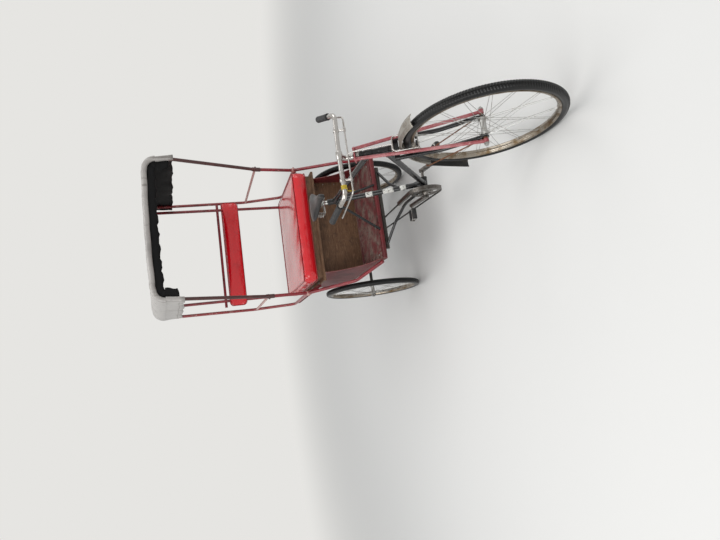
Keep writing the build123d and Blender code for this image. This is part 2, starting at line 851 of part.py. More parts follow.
truss_top = steerer_top - 4
truss_plate = 6
plate_low = truss_top - 10
with BuildPart() as truss_fork:
    for side, side_name in side_names:
        tube([(28, side * 24, truss_top), (rake, side * truss_foot, 0)], 8, plane=steer)
        tube([(rake, side * (truss_foot - 9), 0), (rake, side * (truss_foot + 9), 0)], 12, plane=steer)
    with BuildSketch(steer.offset(plate_low)):
        with Locations((14, 0)):
            RectangleRounded(62, 66, 14)
    extrude(amount=truss_plate)
    bore(on_head(head_high), on_head(truss_top + truss_plate), steerer_radius)
    bore(
        steer.from_local_coords((rake, -truss_foot - 20, 0)),
        steer.from_local_coords((rake, truss_foot + 20, 0)),
        front_axle_radius,
    )
save(truss_fork, "truss_fork")

with BuildPart() as front_axle:
    nut = truss_foot + 9
    tube([(rake, -nut - 14, 0), (rake, nut + 14, 0)], front_axle_radius, plane=steer)
    for side, side_name in side_names:
        tube([(rake, side * (hub_half + 1), 0), (rake, side * (fork_spread - 3), 0)], 9, plane=steer)
        tube([(rake, side * nut, 0), (rake, side * (nut + 9), 0)], 9, plane=steer)
save(front_axle, "front_axle")

guard_inner = wheel_radius + 12
guard_half = 27
guard_start = 82
guard_sweep = 84
with BuildPart() as front_mudguard:
    start = radians(guard_start)
    ray = Plane(origin=front_hub, x_dir=(cos(start), 0, sin(start)), z_dir=(-sin(start), 0, cos(start)))
    with BuildSketch(ray):
        Polygon(
            (guard_inner, -guard_half),
            (guard_inner + 8, -guard_half / 2),
            (guard_inner + 8, guard_half / 2),
            (guard_inner, guard_half),
            (guard_inner - 2, guard_half),
            (guard_inner + 6, guard_half / 2),
            (guard_inner + 6, -guard_half / 2),
            (guard_inner - 2, -guard_half),
            align=None,
        )
    revolve(axis=Axis(front_hub, (0, -1, 0)), revolution_arc=guard_sweep)
    tube([(0, 0, crown_low - 12), (0, 0, crown_low)], 6, plane=steer)
save(front_mudguard, "front_mudguard")

flap_angle = radians(guard_start + guard_sweep)
flap_reach = guard_inner + 9
flap_top = Vector(front_x + flap_reach * cos(flap_angle), 0, wheel_radius + flap_reach * sin(flap_angle))
flap_length = 215
flap_half = 38
with BuildPart() as mud_flap:
    with BuildSketch(Plane(origin=flap_top + Vector(-3, 0, 24), x_dir=(0, 1, 0), z_dir=(-1, 0, 0))):
        Polygon(
            (-flap_half + 12, 0),
            (flap_half - 12, 0),
            (flap_half, 24 + flap_length),
            (-flap_half, 24 + flap_length),
            align=None,
        )
    extrude(amount=3)
    add(front_mudguard.part, mode=Mode.SUBTRACT)
save(mud_flap, "mud_flap")

with BuildPart() as mudguard_stay:
    stay_angle = radians(guard_start + guard_sweep - 4)
    reach = guard_inner + 11
    foot_side = fork_spread + 7
    corner = (front_x + reach * cos(stay_angle), wheel_radius + reach * sin(stay_angle))
    tube(
        [
            (front_x, -foot_side, wheel_radius),
            (corner[0], -guard_half - 8, corner[1]),
            (corner[0], guard_half + 8, corner[1]),
            (front_x, foot_side, wheel_radius),
        ],
        3,
        bend=10,
    )
    tube([(front_x, -foot_side - 3, wheel_radius), (front_x, -foot_side + 3, wheel_radius)], 9)
    tube([(front_x, foot_side - 3, wheel_radius), (front_x, foot_side + 3, wheel_radius)], 9)
    bore(
        (front_x, -foot_side - 10, wheel_radius),
        (front_x, foot_side + 10, wheel_radius),
        front_axle_radius,
    )
save(mudguard_stay, "mudguard_stay")

# Handlebar: a swept-back bar on a stem, with rod brakes below it and a stirrup over the tyre
stem_ahead = 40
bar_centre = steer.from_local_coords((stem_ahead, 0, bar_reach + 10))
bar_bend_side = 195
grip_side = 262
grip_back = 165
grip_rise = 28


def on_bar(ahead, side, up):
    """A point given from the middle of the handlebar."""
    return bar_centre + Vector(ahead, side, up)


with BuildPart() as handlebar:
    tube(
        [
            on_bar(-grip_back, -grip_side, grip_rise),
            on_bar(12, -bar_bend_side, 0),
            on_bar(0, -70, 0),
            on_bar(0, 70, 0),
            on_bar(12, bar_bend_side, 0),
            on_bar(-grip_back, grip_side, grip_rise),
        ],
        bar_radius,
        bend=38,
    )
    stem_points = [(0, 0, steerer_top), (0, 0, bar_reach - 8), (stem_ahead, 0, bar_reach + 10)]
    tube(stem_points, steerer_radius, bend=14, plane=steer)
save(handlebar, "handlebar")

grip_length = 112
with BuildPart() as grips:
    for side, side_name in side_names:
        end = on_bar(-grip_back, side * grip_side, grip_rise)
        way = (on_bar(12, side * bar_bend_side, 0) - end).normalized()
        tube([end - way * 4, end + way * grip_length], bar_radius + 4.5)
        bore(end, end + way * (grip_length + 4), bar_radius)
save(grips, "grips")

rod_drop = 36
brake_ahead = 58
arch_top = 404
pad_foot = 290
stirrup_half = guard_half + 9
with BuildPart() as brake_rods:
    tube(
        [
            on_bar(-grip_back + 30, -grip_side + 6, grip_rise - rod_drop - 6),
            on_bar(18, -bar_bend_side + 14, -rod_drop),
            on_bar(18, bar_bend_side - 14, -rod_drop),
            on_bar(-grip_back + 30, grip_side - 6, grip_rise - rod_drop - 6),
        ],
        4,
        bend=26,
    )
    for side, side_name in side_names:
        tube([on_bar(18, side * 120, -rod_drop), on_bar(2, side * 120, 0)], 5)
    rod_head = steer.to_local_coords(on_bar(18, 0, -rod_drop))
    rod_points = [(rod_head.X, 0, rod_head.Z), (brake_ahead, 0, rod_head.Z - 30), (brake_ahead, 0, arch_top)]
    tube(rod_points, 2.8, bend=8, plane=steer)
    tube(
        [
            (brake_ahead, -stirrup_half, pad_foot),
            (brake_ahead, -stirrup_half, arch_top),
            (brake_ahead, stirrup_half, arch_top),
            (brake_ahead, stirrup_half, pad_foot),
        ],
        3.5,
        bend=16,
        plane=steer,
    )
    for side, side_name in side_names:
        pad_ends = [(brake_ahead, side * reach, pad_foot) for reach in (13, stirrup_half)]
        tube(pad_ends, 5, plane=steer)
    add(handlebar.part, mode=Mode.SUBTRACT)
save(brake_rods, "brake_rods")
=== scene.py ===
# %% [markdown]
# # A cycle rickshaw, finished in Blender
# The measured model of the vehicle comes in as a fixed frame: tubes, sheets, wheels and joints are
# already where they belong. This lesson adds what a camera would notice: tread, spokes, single
# chain links, stuffed covers, a stitched hood, and finishes with their rust, dust and wear.
# Blender works in metres, X forward, Y to the left, Z up. Small sizes are written in mm.

# %% Load the measured frame
from math import atan2, cos, exp, hypot, pi, radians, sin, tan

import bmesh
import bpy
import numpy as np
from mathutils import Matrix, Vector


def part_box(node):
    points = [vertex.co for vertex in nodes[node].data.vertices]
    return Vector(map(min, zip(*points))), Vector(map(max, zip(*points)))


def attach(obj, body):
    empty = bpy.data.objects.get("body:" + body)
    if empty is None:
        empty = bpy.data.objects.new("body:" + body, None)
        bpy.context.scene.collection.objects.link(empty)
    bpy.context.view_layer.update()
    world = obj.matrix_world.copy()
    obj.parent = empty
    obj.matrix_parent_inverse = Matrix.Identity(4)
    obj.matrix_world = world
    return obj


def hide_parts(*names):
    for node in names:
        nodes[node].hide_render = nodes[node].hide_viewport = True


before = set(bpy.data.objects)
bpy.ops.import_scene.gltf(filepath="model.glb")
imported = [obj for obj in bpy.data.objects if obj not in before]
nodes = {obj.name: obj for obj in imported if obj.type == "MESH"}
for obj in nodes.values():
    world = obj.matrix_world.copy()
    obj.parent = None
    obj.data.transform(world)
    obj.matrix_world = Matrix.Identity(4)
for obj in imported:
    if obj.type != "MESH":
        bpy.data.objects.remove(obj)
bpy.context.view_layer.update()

# %% [markdown]
# ## Places
# New pieces are placed from the boxes of the measured nodes, so that a hub, a bar or a seat is
# never typed in twice. The axis of a wheel is the middle of its tyre's box.

# %% Read the main places
mm = 0.001
scene = bpy.context.scene


def centre_of(node):
    """The middle of a node's box."""
    low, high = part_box(node)
    return (Vector(low) + Vector(high)) / 2


front_hub = centre_of("front_tyre")
right_hub = centre_of("rear_right_tyre")
left_hub = centre_of("rear_left_tyre")
bracket = centre_of("chainring")
chain_line = bracket.y
bracket.y = 0
rear_x = right_hub.x
print("wheel radius", round(front_hub.z, 4), "wheelbase", round(front_hub.x - rear_x, 3))


def spot(ahead, side, up):
    """A point in metres from millimetres ahead of the rear axle, to the left, and up."""
    return Vector((rear_x + ahead * mm, side * mm, up * mm))


def off(place, ahead, side, up):
    """A point at a distance in millimetres from a place."""
    return place + Vector((ahead, side, up)) * mm


def span(node, axis):
    """The low and the high end of a node's box along X, Y or Z, in millimetres. X is from the rear axle."""
    low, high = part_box(node)
    zero = rear_x if axis == 0 else 0
    return (low[axis] - zero) / mm, (high[axis] - zero) / mm


def half_size(node, axis):
    """Half of a node's size along X, Y or Z, in millimetres."""
    low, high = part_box(node)
    return (high[axis] - low[axis]) / 2 / mm


head_lean = radians(65)
fork_rake = 60
steer_across = Vector((sin(head_lean), 0, cos(head_lean)))
steer_up = Vector((-cos(head_lean), 0, sin(head_lean)))
steer_foot = front_hub - steer_across * fork_rake * mm


def steer(ahead, side, up):
    """A point on the steering head, from millimetres ahead of its axis, to the left, and along it."""
    return steer_foot + steer_across * ahead * mm + Vector((0, side * mm, 0)) + steer_up * up * mm


# %% [markdown]
# ## Camera
# The photograph was taken with a phone's wide lens, held at standing height to the right of the
# front wheel, and it is stored turned on its side. The camera keeps that turn. Its place and angles
# came from the outlines of the three wheels, the hood and the handlebar.

# %% Set the camera
def aim_camera(place, yaw, pitch, roll, lens):
    """Makes the camera from angles in degrees: yaw off straight back, pitch down, roll, and its turn."""
    yaw, pitch, roll = (radians(angle) for angle in (yaw, pitch, roll))
    ahead = Vector((-cos(yaw) * cos(pitch), sin(yaw) * cos(pitch), -sin(pitch)))
    right = ahead.cross(Vector((0, 0, 1))).normalized()
    down = ahead.cross(right)
    level = right * cos(roll) + down * sin(roll)
    plumb = down * cos(roll) - right * sin(roll)
    data = bpy.data.cameras.new("camera")
    data.lens, data.sensor_width = lens, 36
    data.clip_start, data.clip_end = 0.05, 200
    camera = bpy.data.objects.new("camera", data)
    scene.collection.objects.link(camera)
    turn = Matrix((plumb, level, -ahead)).transposed()
    camera.matrix_world = Matrix.Translation(place) @ turn.to_4x4()
    scene.camera = camera
    return camera


camera = aim_camera((2.7423, -0.8817, 1.5754), yaw=9.537, pitch=17.507, roll=5.203, lens=24.95)
print("camera", [round(v, 3) for v in camera.location], camera.data.lens, "mm")

# %% [markdown]
# ## Floor and light
# A plain pale floor and a pale surround keep the eye on the object. Far from the object the floor
# fades into the surround. The light is soft and even, from a large panel on each side and one above,
# so that a colour renders about as it is written.

# %% Build the floor and the lights
def srgb(code):
    """A linear colour with alpha from a hex code in sRGB."""
    values = [int(code[i:i + 2], 16) / 255 for i in (1, 3, 5)]
    return tuple(v / 12.92 if v <= 0.04045 else ((v + 0.055) / 1.055) ** 2.4 for v in values) + (1.0,)


def add(tree, kind, inputs=None, **settings):
    """Adds a shader node, with its settings and with a value or a link for each named input."""
    node = tree.nodes.new("ShaderNode" + kind)
    for name, value in settings.items():
        setattr(node, name, value)
    for key, value in (inputs or {}).items():
        if isinstance(value, bpy.types.NodeSocket):
            tree.links.new(value, node.inputs[key])
        else:
            node.inputs[key].default_value = value
    return node


def calc(tree, operation, first, second):
    """The result of one math node on two values."""
    return add(tree, "Math", {0: first, 1: second}, operation=operation).outputs[0]


def empty_tree(owner):
    """The node tree of a material or world, cleared."""
    owner.use_nodes = True
    owner.node_tree.nodes.clear()
    return owner.node_tree


def seen_rays(tree):
    """A value of 1 for rays that the eye sees, directly, in a mirror or through glass."""
    rays = add(tree, "LightPath").outputs
    seen = calc(tree, "MAXIMUM", rays["Is Camera Ray"], rays["Is Glossy Ray"])
    return calc(tree, "MAXIMUM", seen, rays["Is Transmission Ray"])


pale = srgb("#e6e5e2")
fade_from, fade_to, floor_reach = 2.6, 9.0, 60
floor_paint = bpy.data.materials.new("pale_floor")
tree = empty_tree(floor_paint)
away = add(tree, "VectorMath", {0: add(tree, "TexCoord").outputs["Object"]}, operation="LENGTH")
distance = {0: away.outputs["Value"], 1: fade_from, 2: fade_to}
far = add(tree, "MapRange", distance, interpolation_type="SMOOTHSTEP").outputs[0]
shown = calc(tree, "MULTIPLY", far, seen_rays(tree))
near = add(tree, "BsdfPrincipled", {"Base Color": pale, "Roughness": 0.85})
faded = add(tree, "Emission", {"Color": pale, "Strength": 1.0})
shader = add(tree, "MixShader", {0: shown, 1: near.outputs[0], 2: faded.outputs[0]})
add(tree, "OutputMaterial", {"Surface": shader.outputs[0]})
floor_mesh = bpy.data.meshes.new("floor")
corners = [(x * floor_reach, y * floor_reach, 0) for x, y in ((-1, -1), (1, -1), (1, 1), (-1, 1))]
floor_mesh.from_pydata(corners, [], [(0, 1, 2, 3)])
floor_mesh.materials.append(floor_paint)
floor = bpy.data.objects.new("floor", floor_mesh)
scene.collection.objects.link(floor)

world = bpy.data.worlds.new("pale_surround")
scene.world = world
tree = empty_tree(world)
fill = add(tree, "Background", {"Color": srgb("#eef1f4"), "Strength": 0.5})
backdrop = add(tree, "Background", {"Color": pale, "Strength": 1.0})
mixed = add(tree, "MixShader", {0: seen_rays(tree), 1: fill.outputs[0], 2: backdrop.outputs[0]})
add(tree, "OutputWorld", {"Surface": mixed.outputs[0]})

scene.view_settings.view_transform = "Standard"
# Each panel's name, place, height of the point that it faces, size in metres and power in watts.
for name, place, aim, size, power in (("panel_above", (0.6, -0.4, 5.2), 0.5, 4.0, 118),
                                      ("panel_right", (3.2, -4.2, 3.2), 0.7, 3.0, 118),
                                      ("panel_left", (1.5, 4.6, 2.6), 0.7, 3.0, 62)):
    data = bpy.data.lights.new(name, "AREA")
    data.size, data.energy = size, power
    lamp = bpy.data.objects.new(name, data)
    scene.collection.objects.link(lamp)
    lamp.location = place
    lamp.rotation_euler = (Vector((0, 0, aim)) - Vector(place)).to_track_quat("-Z", "Y").to_euler()
print("floor, surround and", len(bpy.data.lights), "panels")

# %% [markdown]
# ## Finishes
# Each surface starts as the real material, clean, and is then aged in layers: faded paint, chips,
# rust and road dust each cover part of it through a pattern of their own size. On the chrome rim a broad
# brown layer is a painted reflection as well as dust. Sizes are given in millimetres and turned into
# texture scales, because a chip is a chip at any distance.

# %% Patterns and layered finishes
# Noise drawn out along one axis: brushed streaks, runs of dust, and wood grain across the vehicle.
drawn_out = {"streaks": (0.12, 1.0, 1.0), "plumb": (1.0, 1.0, 0.1), "across": (1.0, 0.07, 1.0)}


def noise(tree, place, scale, detail, **more):
    """A cloudy value from 0 to 1."""
    return add(tree, "TexNoise", {"Vector": place, "Scale": scale, "Detail": detail, **more}).outputs[0]


def field(tree, place, pattern, size):
    """A value from 0 to 1 over the surface. The size is that of one patch, spot or thread in mm."""
    scale = 1 / (size * mm)
    if pattern == "cloud":
        return noise(tree, place, scale, 5, Roughness=0.62)
    if pattern in drawn_out:
        drawn = add(tree, "Mapping", {"Vector": place, "Scale": drawn_out[pattern]}).outputs[0]
        if pattern == "across":
            return noise(tree, drawn, scale, 8, Distortion=0.8)
        return noise(tree, drawn, scale, 6)
    if pattern == "spots":
        dots = add(tree, "TexVoronoi", {"Vector": place, "Scale": scale, "Randomness": 1.0})
        return calc(tree, "SUBTRACT", 1.0, dots.outputs["Distance"])
    if pattern == "weave":
        threads = [add(tree, "TexWave", {"Vector": place, "Scale": scale / 20}, bands_direction=way)
                   for way in ("X", "Y")]
        return calc(tree, "MULTIPLY", threads[0].outputs[1], threads[1].outputs[1])
    if pattern == "settled":
        facing = add(tree, "SeparateXYZ", {0: add(tree, "NewGeometry").outputs["Normal"]})
        return calc(tree, "MULTIPLY", facing.outputs[2], noise(tree, place, scale, 6, Roughness=0.7))
    if pattern == "edge":
        eased = add(tree, "Bevel", {"Radius": size * mm}, samples=4)
        true = add(tree, "NewGeometry")
        normals = {0: eased.outputs[0], 1: true.outputs["Normal"]}
        bend = add(tree, "VectorMath", normals, operation="DOT_PRODUCT")
        worn = calc(tree, "SUBTRACT", 1.0, bend.outputs["Value"])
        return calc(tree, "MULTIPLY", worn, noise(tree, place, 120.0, 5))
    raise ValueError(pattern)


def rows_in(text):
    """The rows of a list that is written as text, parted by commas, with their numbers as numbers."""
    return [[float(word) if word[0] in ".0123456789" else word for word in row.split()]
            for row in text.split(",")]


def finish(name, colour, rough, layers, bumps, metallic=0.0, **sockets):
    """A finish from its clean colour and roughness. A layer is its pattern, size in mm, value where it
    starts, value where it covers, colour and roughness, then its metallic value where that differs
    from the clean one. A bump is its pattern, size and height in mm."""
    material = bpy.data.materials.new(name)
    tree = empty_tree(material)
    place = add(tree, "TexCoord").outputs["Object"]
    tint, dull, metal = srgb(colour), rough, metallic
    for pattern, size, start, full, layer_colour, layer_rough, *layer_metal in rows_in(layers):
        cover = {0: field(tree, place, pattern, size), 1: start, 2: full}
        mask = add(tree, "MapRange", cover, interpolation_type="SMOOTHSTEP").outputs[0]
        tint = add(tree, "Mix", {0: mask, 6: tint, 7: srgb(layer_colour)}, data_type="RGBA").outputs[2]
        dull = add(tree, "Mix", {0: mask, 2: dull, 3: layer_rough}).outputs[0]
        if layer_metal:
            metal = add(tree, "Mix", {0: mask, 2: metal, 3: layer_metal[0]}).outputs[0]
    shader = add(tree, "BsdfPrincipled", {"Base Color": tint, "Roughness": dull, "Metallic": metal})
    for key, value in sockets.items():
        shader.inputs[key.replace("_", " ").title().replace("Ior", "IOR")].default_value = value
    for pattern, size, height in rows_in(bumps):
        relief = {"Height": field(tree, place, pattern, size), "Distance": height * mm}
        if shader.inputs["Normal"].is_linked:
            relief["Normal"] = shader.inputs["Normal"].links[0].from_socket
        tree.links.new(add(tree, "Bump", relief).outputs[0], shader.inputs["Normal"])
    add(tree, "OutputMaterial", {"Surface": shader.outputs[0]})
    return material


print("patterns:", "cloud", *drawn_out, "spots", "weave", "settled", "edge")

# %% [markdown]
# ### Rubber and vinyl
# Vulcanised rubber is nearly black and dull, greyer where dust has bedded in. The covers are PVC
# coated cloth, the cheap glossy sort: its coating hides the weave and leaves a fine leather grain.

# %% Rubber and vinyl finishes
tyre_rubber = finish("vulcanised_rubber", "#0c0c0d", 0.3,
    "cloud 70 .54 .8 #262320 .6, cloud 6 .62 .8 #38332d .8", "cloud 1.5 .1", specular_ior_level=0.35)
flap_rubber = finish("sheet_rubber", "#1a1a19", 0.6,
    "plumb 40 .5 .75 #4a4138 .85, cloud 8 .55 .8 #5a5046 .9", "cloud 4 .3")
grip_rubber = finish("moulded_pvc_grip", "#202022", 0.55,
    "cloud 20 .5 .75 #3c3a38 .6", "cloud 1 .1")
seat_vinyl = finish("red_vinyl", "#cf0f1d", 0.2,
    "cloud 120 .5 .8 #ad0c18 .3, settled 90 .56 .8 #a8292d .42, cloud 14 .62 .8 #8c1c1e .45",
    "spots 1.6 .1, cloud 35 1.2", coat_weight=0.4, coat_roughness=0.1)
piping_vinyl = finish("dark_red_piping", "#8f0b15", 0.35,
    "cloud 12 .55 .75 #6c1a1c .5", "cloud 3 .15")
hood_vinyl = finish("grey_vinyl", "#a19d99", 0.4,
    "cloud 160 .45 .72 #8b8784 .48, plumb 26 .54 .76 #706a65 .55, settled 70 .5 .74 #968d83 .65, "
    "cloud 14 .64 .78 #7c746c .65", "spots 1.8 .12, cloud 90 2", coat_weight=0.3, coat_roughness=0.22)
lining_vinyl = finish("black_lining", "#040405", 0.7,
    "cloud 80 .5 .75 #0d0d0f .75", "weave 2.2 .15, cloud 60 1.5", specular_ior_level=0.2)
saddle_cover = finish("black_saddle_vinyl", "#1b1a1b", 0.38,
    "cloud 50 .5 .78 #37332f .6, settled 50 .5 .72 #4d463e .75",
    "spots 2 .15", coat_weight=0.2, coat_roughness=0.3)
string_grey = finish("sewing_thread", "#8b8781", 0.7,
    "cloud 8 .5 .7 #6a645d .8", "cloud .8 .1")
string_yellow = finish("plastic_twine", "#c9b13c", 0.5,
    "cloud 5 .5 .7 #8d7c34 .7", "cloud 1 .2")
print("soft finishes made")

# %% [markdown]
# ### Plate and bare metal
# Chrome plate stays a mirror until it pits: brown freckles of rust. The rim's chrome is tinted brown and
# has a
# broad brown haze: partly dust, partly a painted reflection of a brown ground. Zinc-plated spokes are
# greyer.
# Metals keep the default IOR, because their colour carries the reflection.

# %% Metal finishes
# The rim's brown base tint and its 50 mm brown haze are a painted reflection of a brown ground, partly
# dust; the 5 mm freckles are rust.
rim_chrome_painted_reflection = finish("chromed_rim_painted_reflection", "#938b80", 0.26,
    "cloud 50 .4 .66 #68563f .42, cloud 5 .58 .7 #4c2f1c .85 .2", "cloud 3 .05", metallic=1.0)
bright_plate = finish("worn_chrome", "#b9b6b3", 0.18,
    "cloud 40 .48 .74 #8d867d .34, cloud 5 .6 .72 #63452f .8 .2", "cloud 6 .08", metallic=1.0)
oily_plate = finish("oily_chrome", "#7a7672", 0.28,
    "cloud 30 .44 .68 #4a443d .45 .8, cloud 5 .58 .7 #2c231c .7 .2", "cloud 6 .08", metallic=1.0)
zinc_plate = finish("zinc_plate", "#b2b2af", 0.34,
    "cloud 18 .5 .75 #857a6b .55 .8, cloud 4 .62 .74 #5e4a38 .8 .2", "cloud 2 .04", metallic=1.0)
dark_steel = finish("oiled_steel", "#4b4845", 0.42,
    "cloud 12 .48 .7 #211d19 .6 .3, cloud 4 .62 .75 #6a5b4b .8 .2", "cloud 2 .06", metallic=0.9)
spring_steel = finish("rusted_spring_steel", "#3c3531", 0.6,
    "cloud 30 .42 .65 #5f3a25 .85 0, cloud 7 .55 .72 #7b4c2c .9 0", "cloud 4 .25", metallic=0.4)
rusty_rod = finish("rusted_rod", "#6d4730", 0.75,
    "cloud 12 .45 .68 #8a5a36 .85, cloud 4 .56 .74 #3f2b21 .9", "cloud 3 .2", metallic=0.1)
print("metal finishes made")

# %% [markdown]
# ### Paint and wood
# Stoving enamel on steel chips at its edges to primer and rust, and fades to pink where it is trodden
# and held. The seat's box is faced with plywood, whose grain runs across the vehicle.

# %% Paint and wood finishes
black_enamel = finish("black_enamel", "#0f1012", 0.26,
    "cloud 90 .5 .75 #1c1c1f .4, settled 50 .46 .66 #3c3731 .65, cloud 7 .64 .7 #4a3829 .75",
    "cloud 9 .08", coat_weight=0.15, coat_roughness=0.12, specular_ior_level=0.4)
band_enamel = finish("white_enamel", "#d4d3cd", 0.3,
    "cloud 9 .52 .62 #3a3836 .4, cloud 40 .5 .75 #a8a49b .45", "cloud 5 .08")
rose_enamel = finish("faded_red_enamel", "#a04d52", 0.42,
    "cloud 60 .42 .66 #8e3d43 .36, cloud 90 .45 .7 #b5797a .5, cloud 9 .58 .7 #c3a09c .5, "
    "cloud 6 .6 .68 #46302b .75", "cloud 6 .1", coat_weight=0.1, coat_roughness=0.25)
body_enamel = finish("dark_red_enamel", "#641b1f", 0.46,
    "cloud 130 .45 .72 #4a1418 .5, edge 4 .02 .12 #a3706a .6, cloud 34 .6 .76 #7d4341 .55, "
    "plumb 14 .56 .74 #4a332c .7, cloud 7 .62 .69 #2c1e1a .8, settled 40 .5 .7 #6a574c .8",
    "cloud 10 .12, cloud 160 1.6", specular_ior_level=0.35)
floor_enamel = finish("trodden_red_enamel", "#5e2a2c", 0.5,
    "cloud 80 .4 .62 #6d5c54 .65, cloud 26 .5 .66 #483a34 .75, streaks 9 .55 .68 #5c1f22 .45, "
    "cloud 12 .6 .72 #8b7e74 .7, cloud 8 .62 .7 #261e19 .8",
    "cloud 12 .2, cloud 180 2", specular_ior_level=0.35)
tube_enamel = finish("rubbed_red_enamel", "#8d3034", 0.36,
    "cloud 55 .45 .7 #6e2024 .34, cloud 42 .58 .72 #b0807a .42, cloud 13 .6 .7 #d2b9b1 .45, "
    "cloud 6 .62 .7 #452c24 .8", "cloud 7 .1", coat_weight=0.15)
arm_enamel = finish("palm_rubbed_enamel", "#bb9088", 0.4,
    "cloud 48 .5 .68 #8d3c3e .34, cloud 16 .54 .7 #d0b6ad .4, cloud 6 .64 .7 #4c342a .8",
    "cloud 7 .1", coat_weight=0.15)
post_enamel = finish("brown_red_enamel", "#45211f", 0.34,
    "cloud 70 .5 .75 #5c2c29 .4, cloud 7 .62 .7 #1f1715 .7", "cloud 7 .1", coat_weight=0.2)
red_enamel = finish("red_enamel", "#851c28", 0.32,
    "cloud 70 .45 .72 #5c1a1e .36, cloud 18 .58 .72 #a5625e .5, cloud 7 .62 .69 #34231d .75",
    "cloud 7 .1", coat_weight=0.25, coat_roughness=0.2)
mudguard_steel = finish("galvanised_sheet", "#a09b93", 0.4,
    "cloud 45 .45 .7 #6f655a .6 .4, cloud 8 .6 .72 #4a3527 .85 .1, edge 3 .03 .15 #c9c4bb .35",
    "cloud 20 .6", metallic=0.85)
plywood = finish("brown_plywood", "#65472f", 0.6,
    "across 9 .4 .66 #543924 .68, across 3 .52 .7 #85654a .62, cloud 60 .5 .75 #432f20 .7, "
    "cloud 7 .64 .72 #94806a .7", "across 4 .35")
print(len(bpy.data.materials), "materials in all")

# %% [markdown]
# ## Shapes from rows of points
# Most pieces of a rickshaw are turned, bent or cut from sheet. So one small builder gathers points and
# faces: rows of points are skinned into a surface, a bar follows a path, and a turned part spins its
# profile round an axis. Writing points keeps each mesh light and its size exact.

# %% A builder for rods, turned parts and plates
def circle(count):
    """Angles in equal steps round a circle."""
    return [2 * pi * k / count for k in range(count)]


def mirrored(half):
    """A profile of (radius, place along the axis) and its mirror image past the middle."""
    return list(half) + [(radius, -along) for radius, along in reversed(half) if along]


class Shape:
    """Points and faces gathered for one piece."""

    def __init__(self):
        self.points, self.faces = [], []

    def skin(self, rows, closed=True, looped=False, capped=False):
        """Joins rows of points by quads. Closed rows are rings, a looped run ends where it starts."""
        base, wide = len(self.points), len(rows[0])
        for row in rows:
            self.points.extend(row)
        across = wide if closed else wide - 1
        along = len(rows) if looped else len(rows) - 1
        for i in range(along):
            here, there = base + i * wide, base + (i + 1) % len(rows) * wide
            for j in range(across):
                k = (j + 1) % wide
                self.faces.append((here + j, here + k, there + k, there + j))
        if capped:
            self.faces.append(tuple(reversed(range(base, base + wide))))
            self.faces.append(tuple(range(base + (len(rows) - 1) * wide, base + len(rows) * wide)))

    def rod(self, path, radius, sides=8, looped=False):
        """A round bar along a path, in metres. The radius is one number in mm or one for each point."""
        path = [Vector(p) for p in path]
        radii = radius if isinstance(radius, list) else [radius] * len(path)
        rows, side = [], None
        for i, here in enumerate(path):
            before = path[i - 1] if i or looped else here
            after = path[(i + 1) % len(path)] if i + 1 < len(path) or looped else here
            way = (after - before).normalized()
            if side is None:
                side = way.orthogonal().normalized()
            side = (side - way * side.dot(way)).normalized()
            other = way.cross(side)
            rows.append([here + (side * cos(t) + other * sin(t)) * (radii[i] * mm) for t in circle(sides)])
        self.skin(rows, capped=not looped, looped=looped)

    def turned(self, centre, axis, profile, steps=24, looped=False, capped=True):
        """A profile of (radius, place along the axis) in mm, spun round the axis."""
        axis = Vector(axis).normalized()
        side = axis.orthogonal().normalized() if abs(axis.y) < 0.99 else Vector((1, 0, 0))
        other = axis.cross(side)
        rows = [[centre + axis * along * mm + (side * cos(t) + other * sin(t)) * radius * mm
                 for t in circle(steps)] for radius, along in profile]
        self.skin(rows, looped=looped, capped=capped and not looped)

    def sleeve(self, centre, axis, half, steps=24):
        """A hollow turned part, alike on both sides of its middle, from one half of its profile."""
        self.turned(centre, axis, mirrored(half), steps, looped=True)

    def plate(self, origin, across, up, outline, thickness, ease=0.4):
        """A flat piece from an outline in mm, with eased edges, centred on its plane."""
        across, up = Vector(across).normalized(), Vector(up).normalized()
        normal = across.cross(up)
        inner = []
        for i, (x, y) in enumerate(outline):
            (ax, ay), (bx, by) = outline[i - 1], outline[(i + 1) % len(outline)]
            nx, ny = by - ay, ax - bx
            length = hypot(nx, ny) or 1.0
            inner.append((x - nx / length * ease, y - ny / length * ease))
        half = thickness / 2
        levels = ((inner, -half), (outline, ease - half), (outline, half - ease), (inner, half))
        self.skin([[origin + (across * x + up * y + normal * level) * mm for x, y in line]
                   for line, level in levels], capped=True)

    def make(self, name, material, slot=None, body="chassis", replaces=None, sharp=38):
        """The finished piece, smooth but for its sharp edges, riding on a body. It may take the place
        of a measured node. The slot argument is not used."""
        mesh = bpy.data.meshes.new(name)
        mesh.from_pydata([tuple(p) for p in self.points], [], self.faces)
        mesh.materials.append(material)
        mesh.validate()
        tidy = bmesh.new()
        tidy.from_mesh(mesh)
        bmesh.ops.recalc_face_normals(tidy, faces=tidy.faces)
        tidy.to_mesh(mesh)
        tidy.free()
        mesh.shade_smooth()
        mesh.set_sharp_from_angle(angle=radians(sharp))
        piece = bpy.data.objects.new(name, mesh)
        scene.collection.objects.link(piece)
        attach(piece, body)
        if replaces:
            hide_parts(replaces)
        print(f"{name}: {sum(len(face) - 2 for face in self.faces)} triangles")
        return piece


def bend_path(points, radius, steps=6):
    """A path through the points with each inner corner turned at a radius in millimetres."""
    points = [Vector(p) for p in points]
    path = [points[0]]
    for before, corner, after in zip(points, points[1:], points[2:]):
        back, ahead = (before - corner), (after - corner)
        half_turn = max(tan(back.angle(ahead) / 2), 0.01)
        reach = min(radius * mm / half_turn, back.length * 0.48, ahead.length * 0.48)
        start, end = corner + back.normalized() * reach, corner + ahead.normalized() * reach
        for k in range(steps + 1):
            t = k / steps
            path.append(start * (1 - t) ** 2 + corner * 2 * t * (1 - t) + end * t ** 2)
    path.append(points[-1])
    return path


print("shape builder ready")

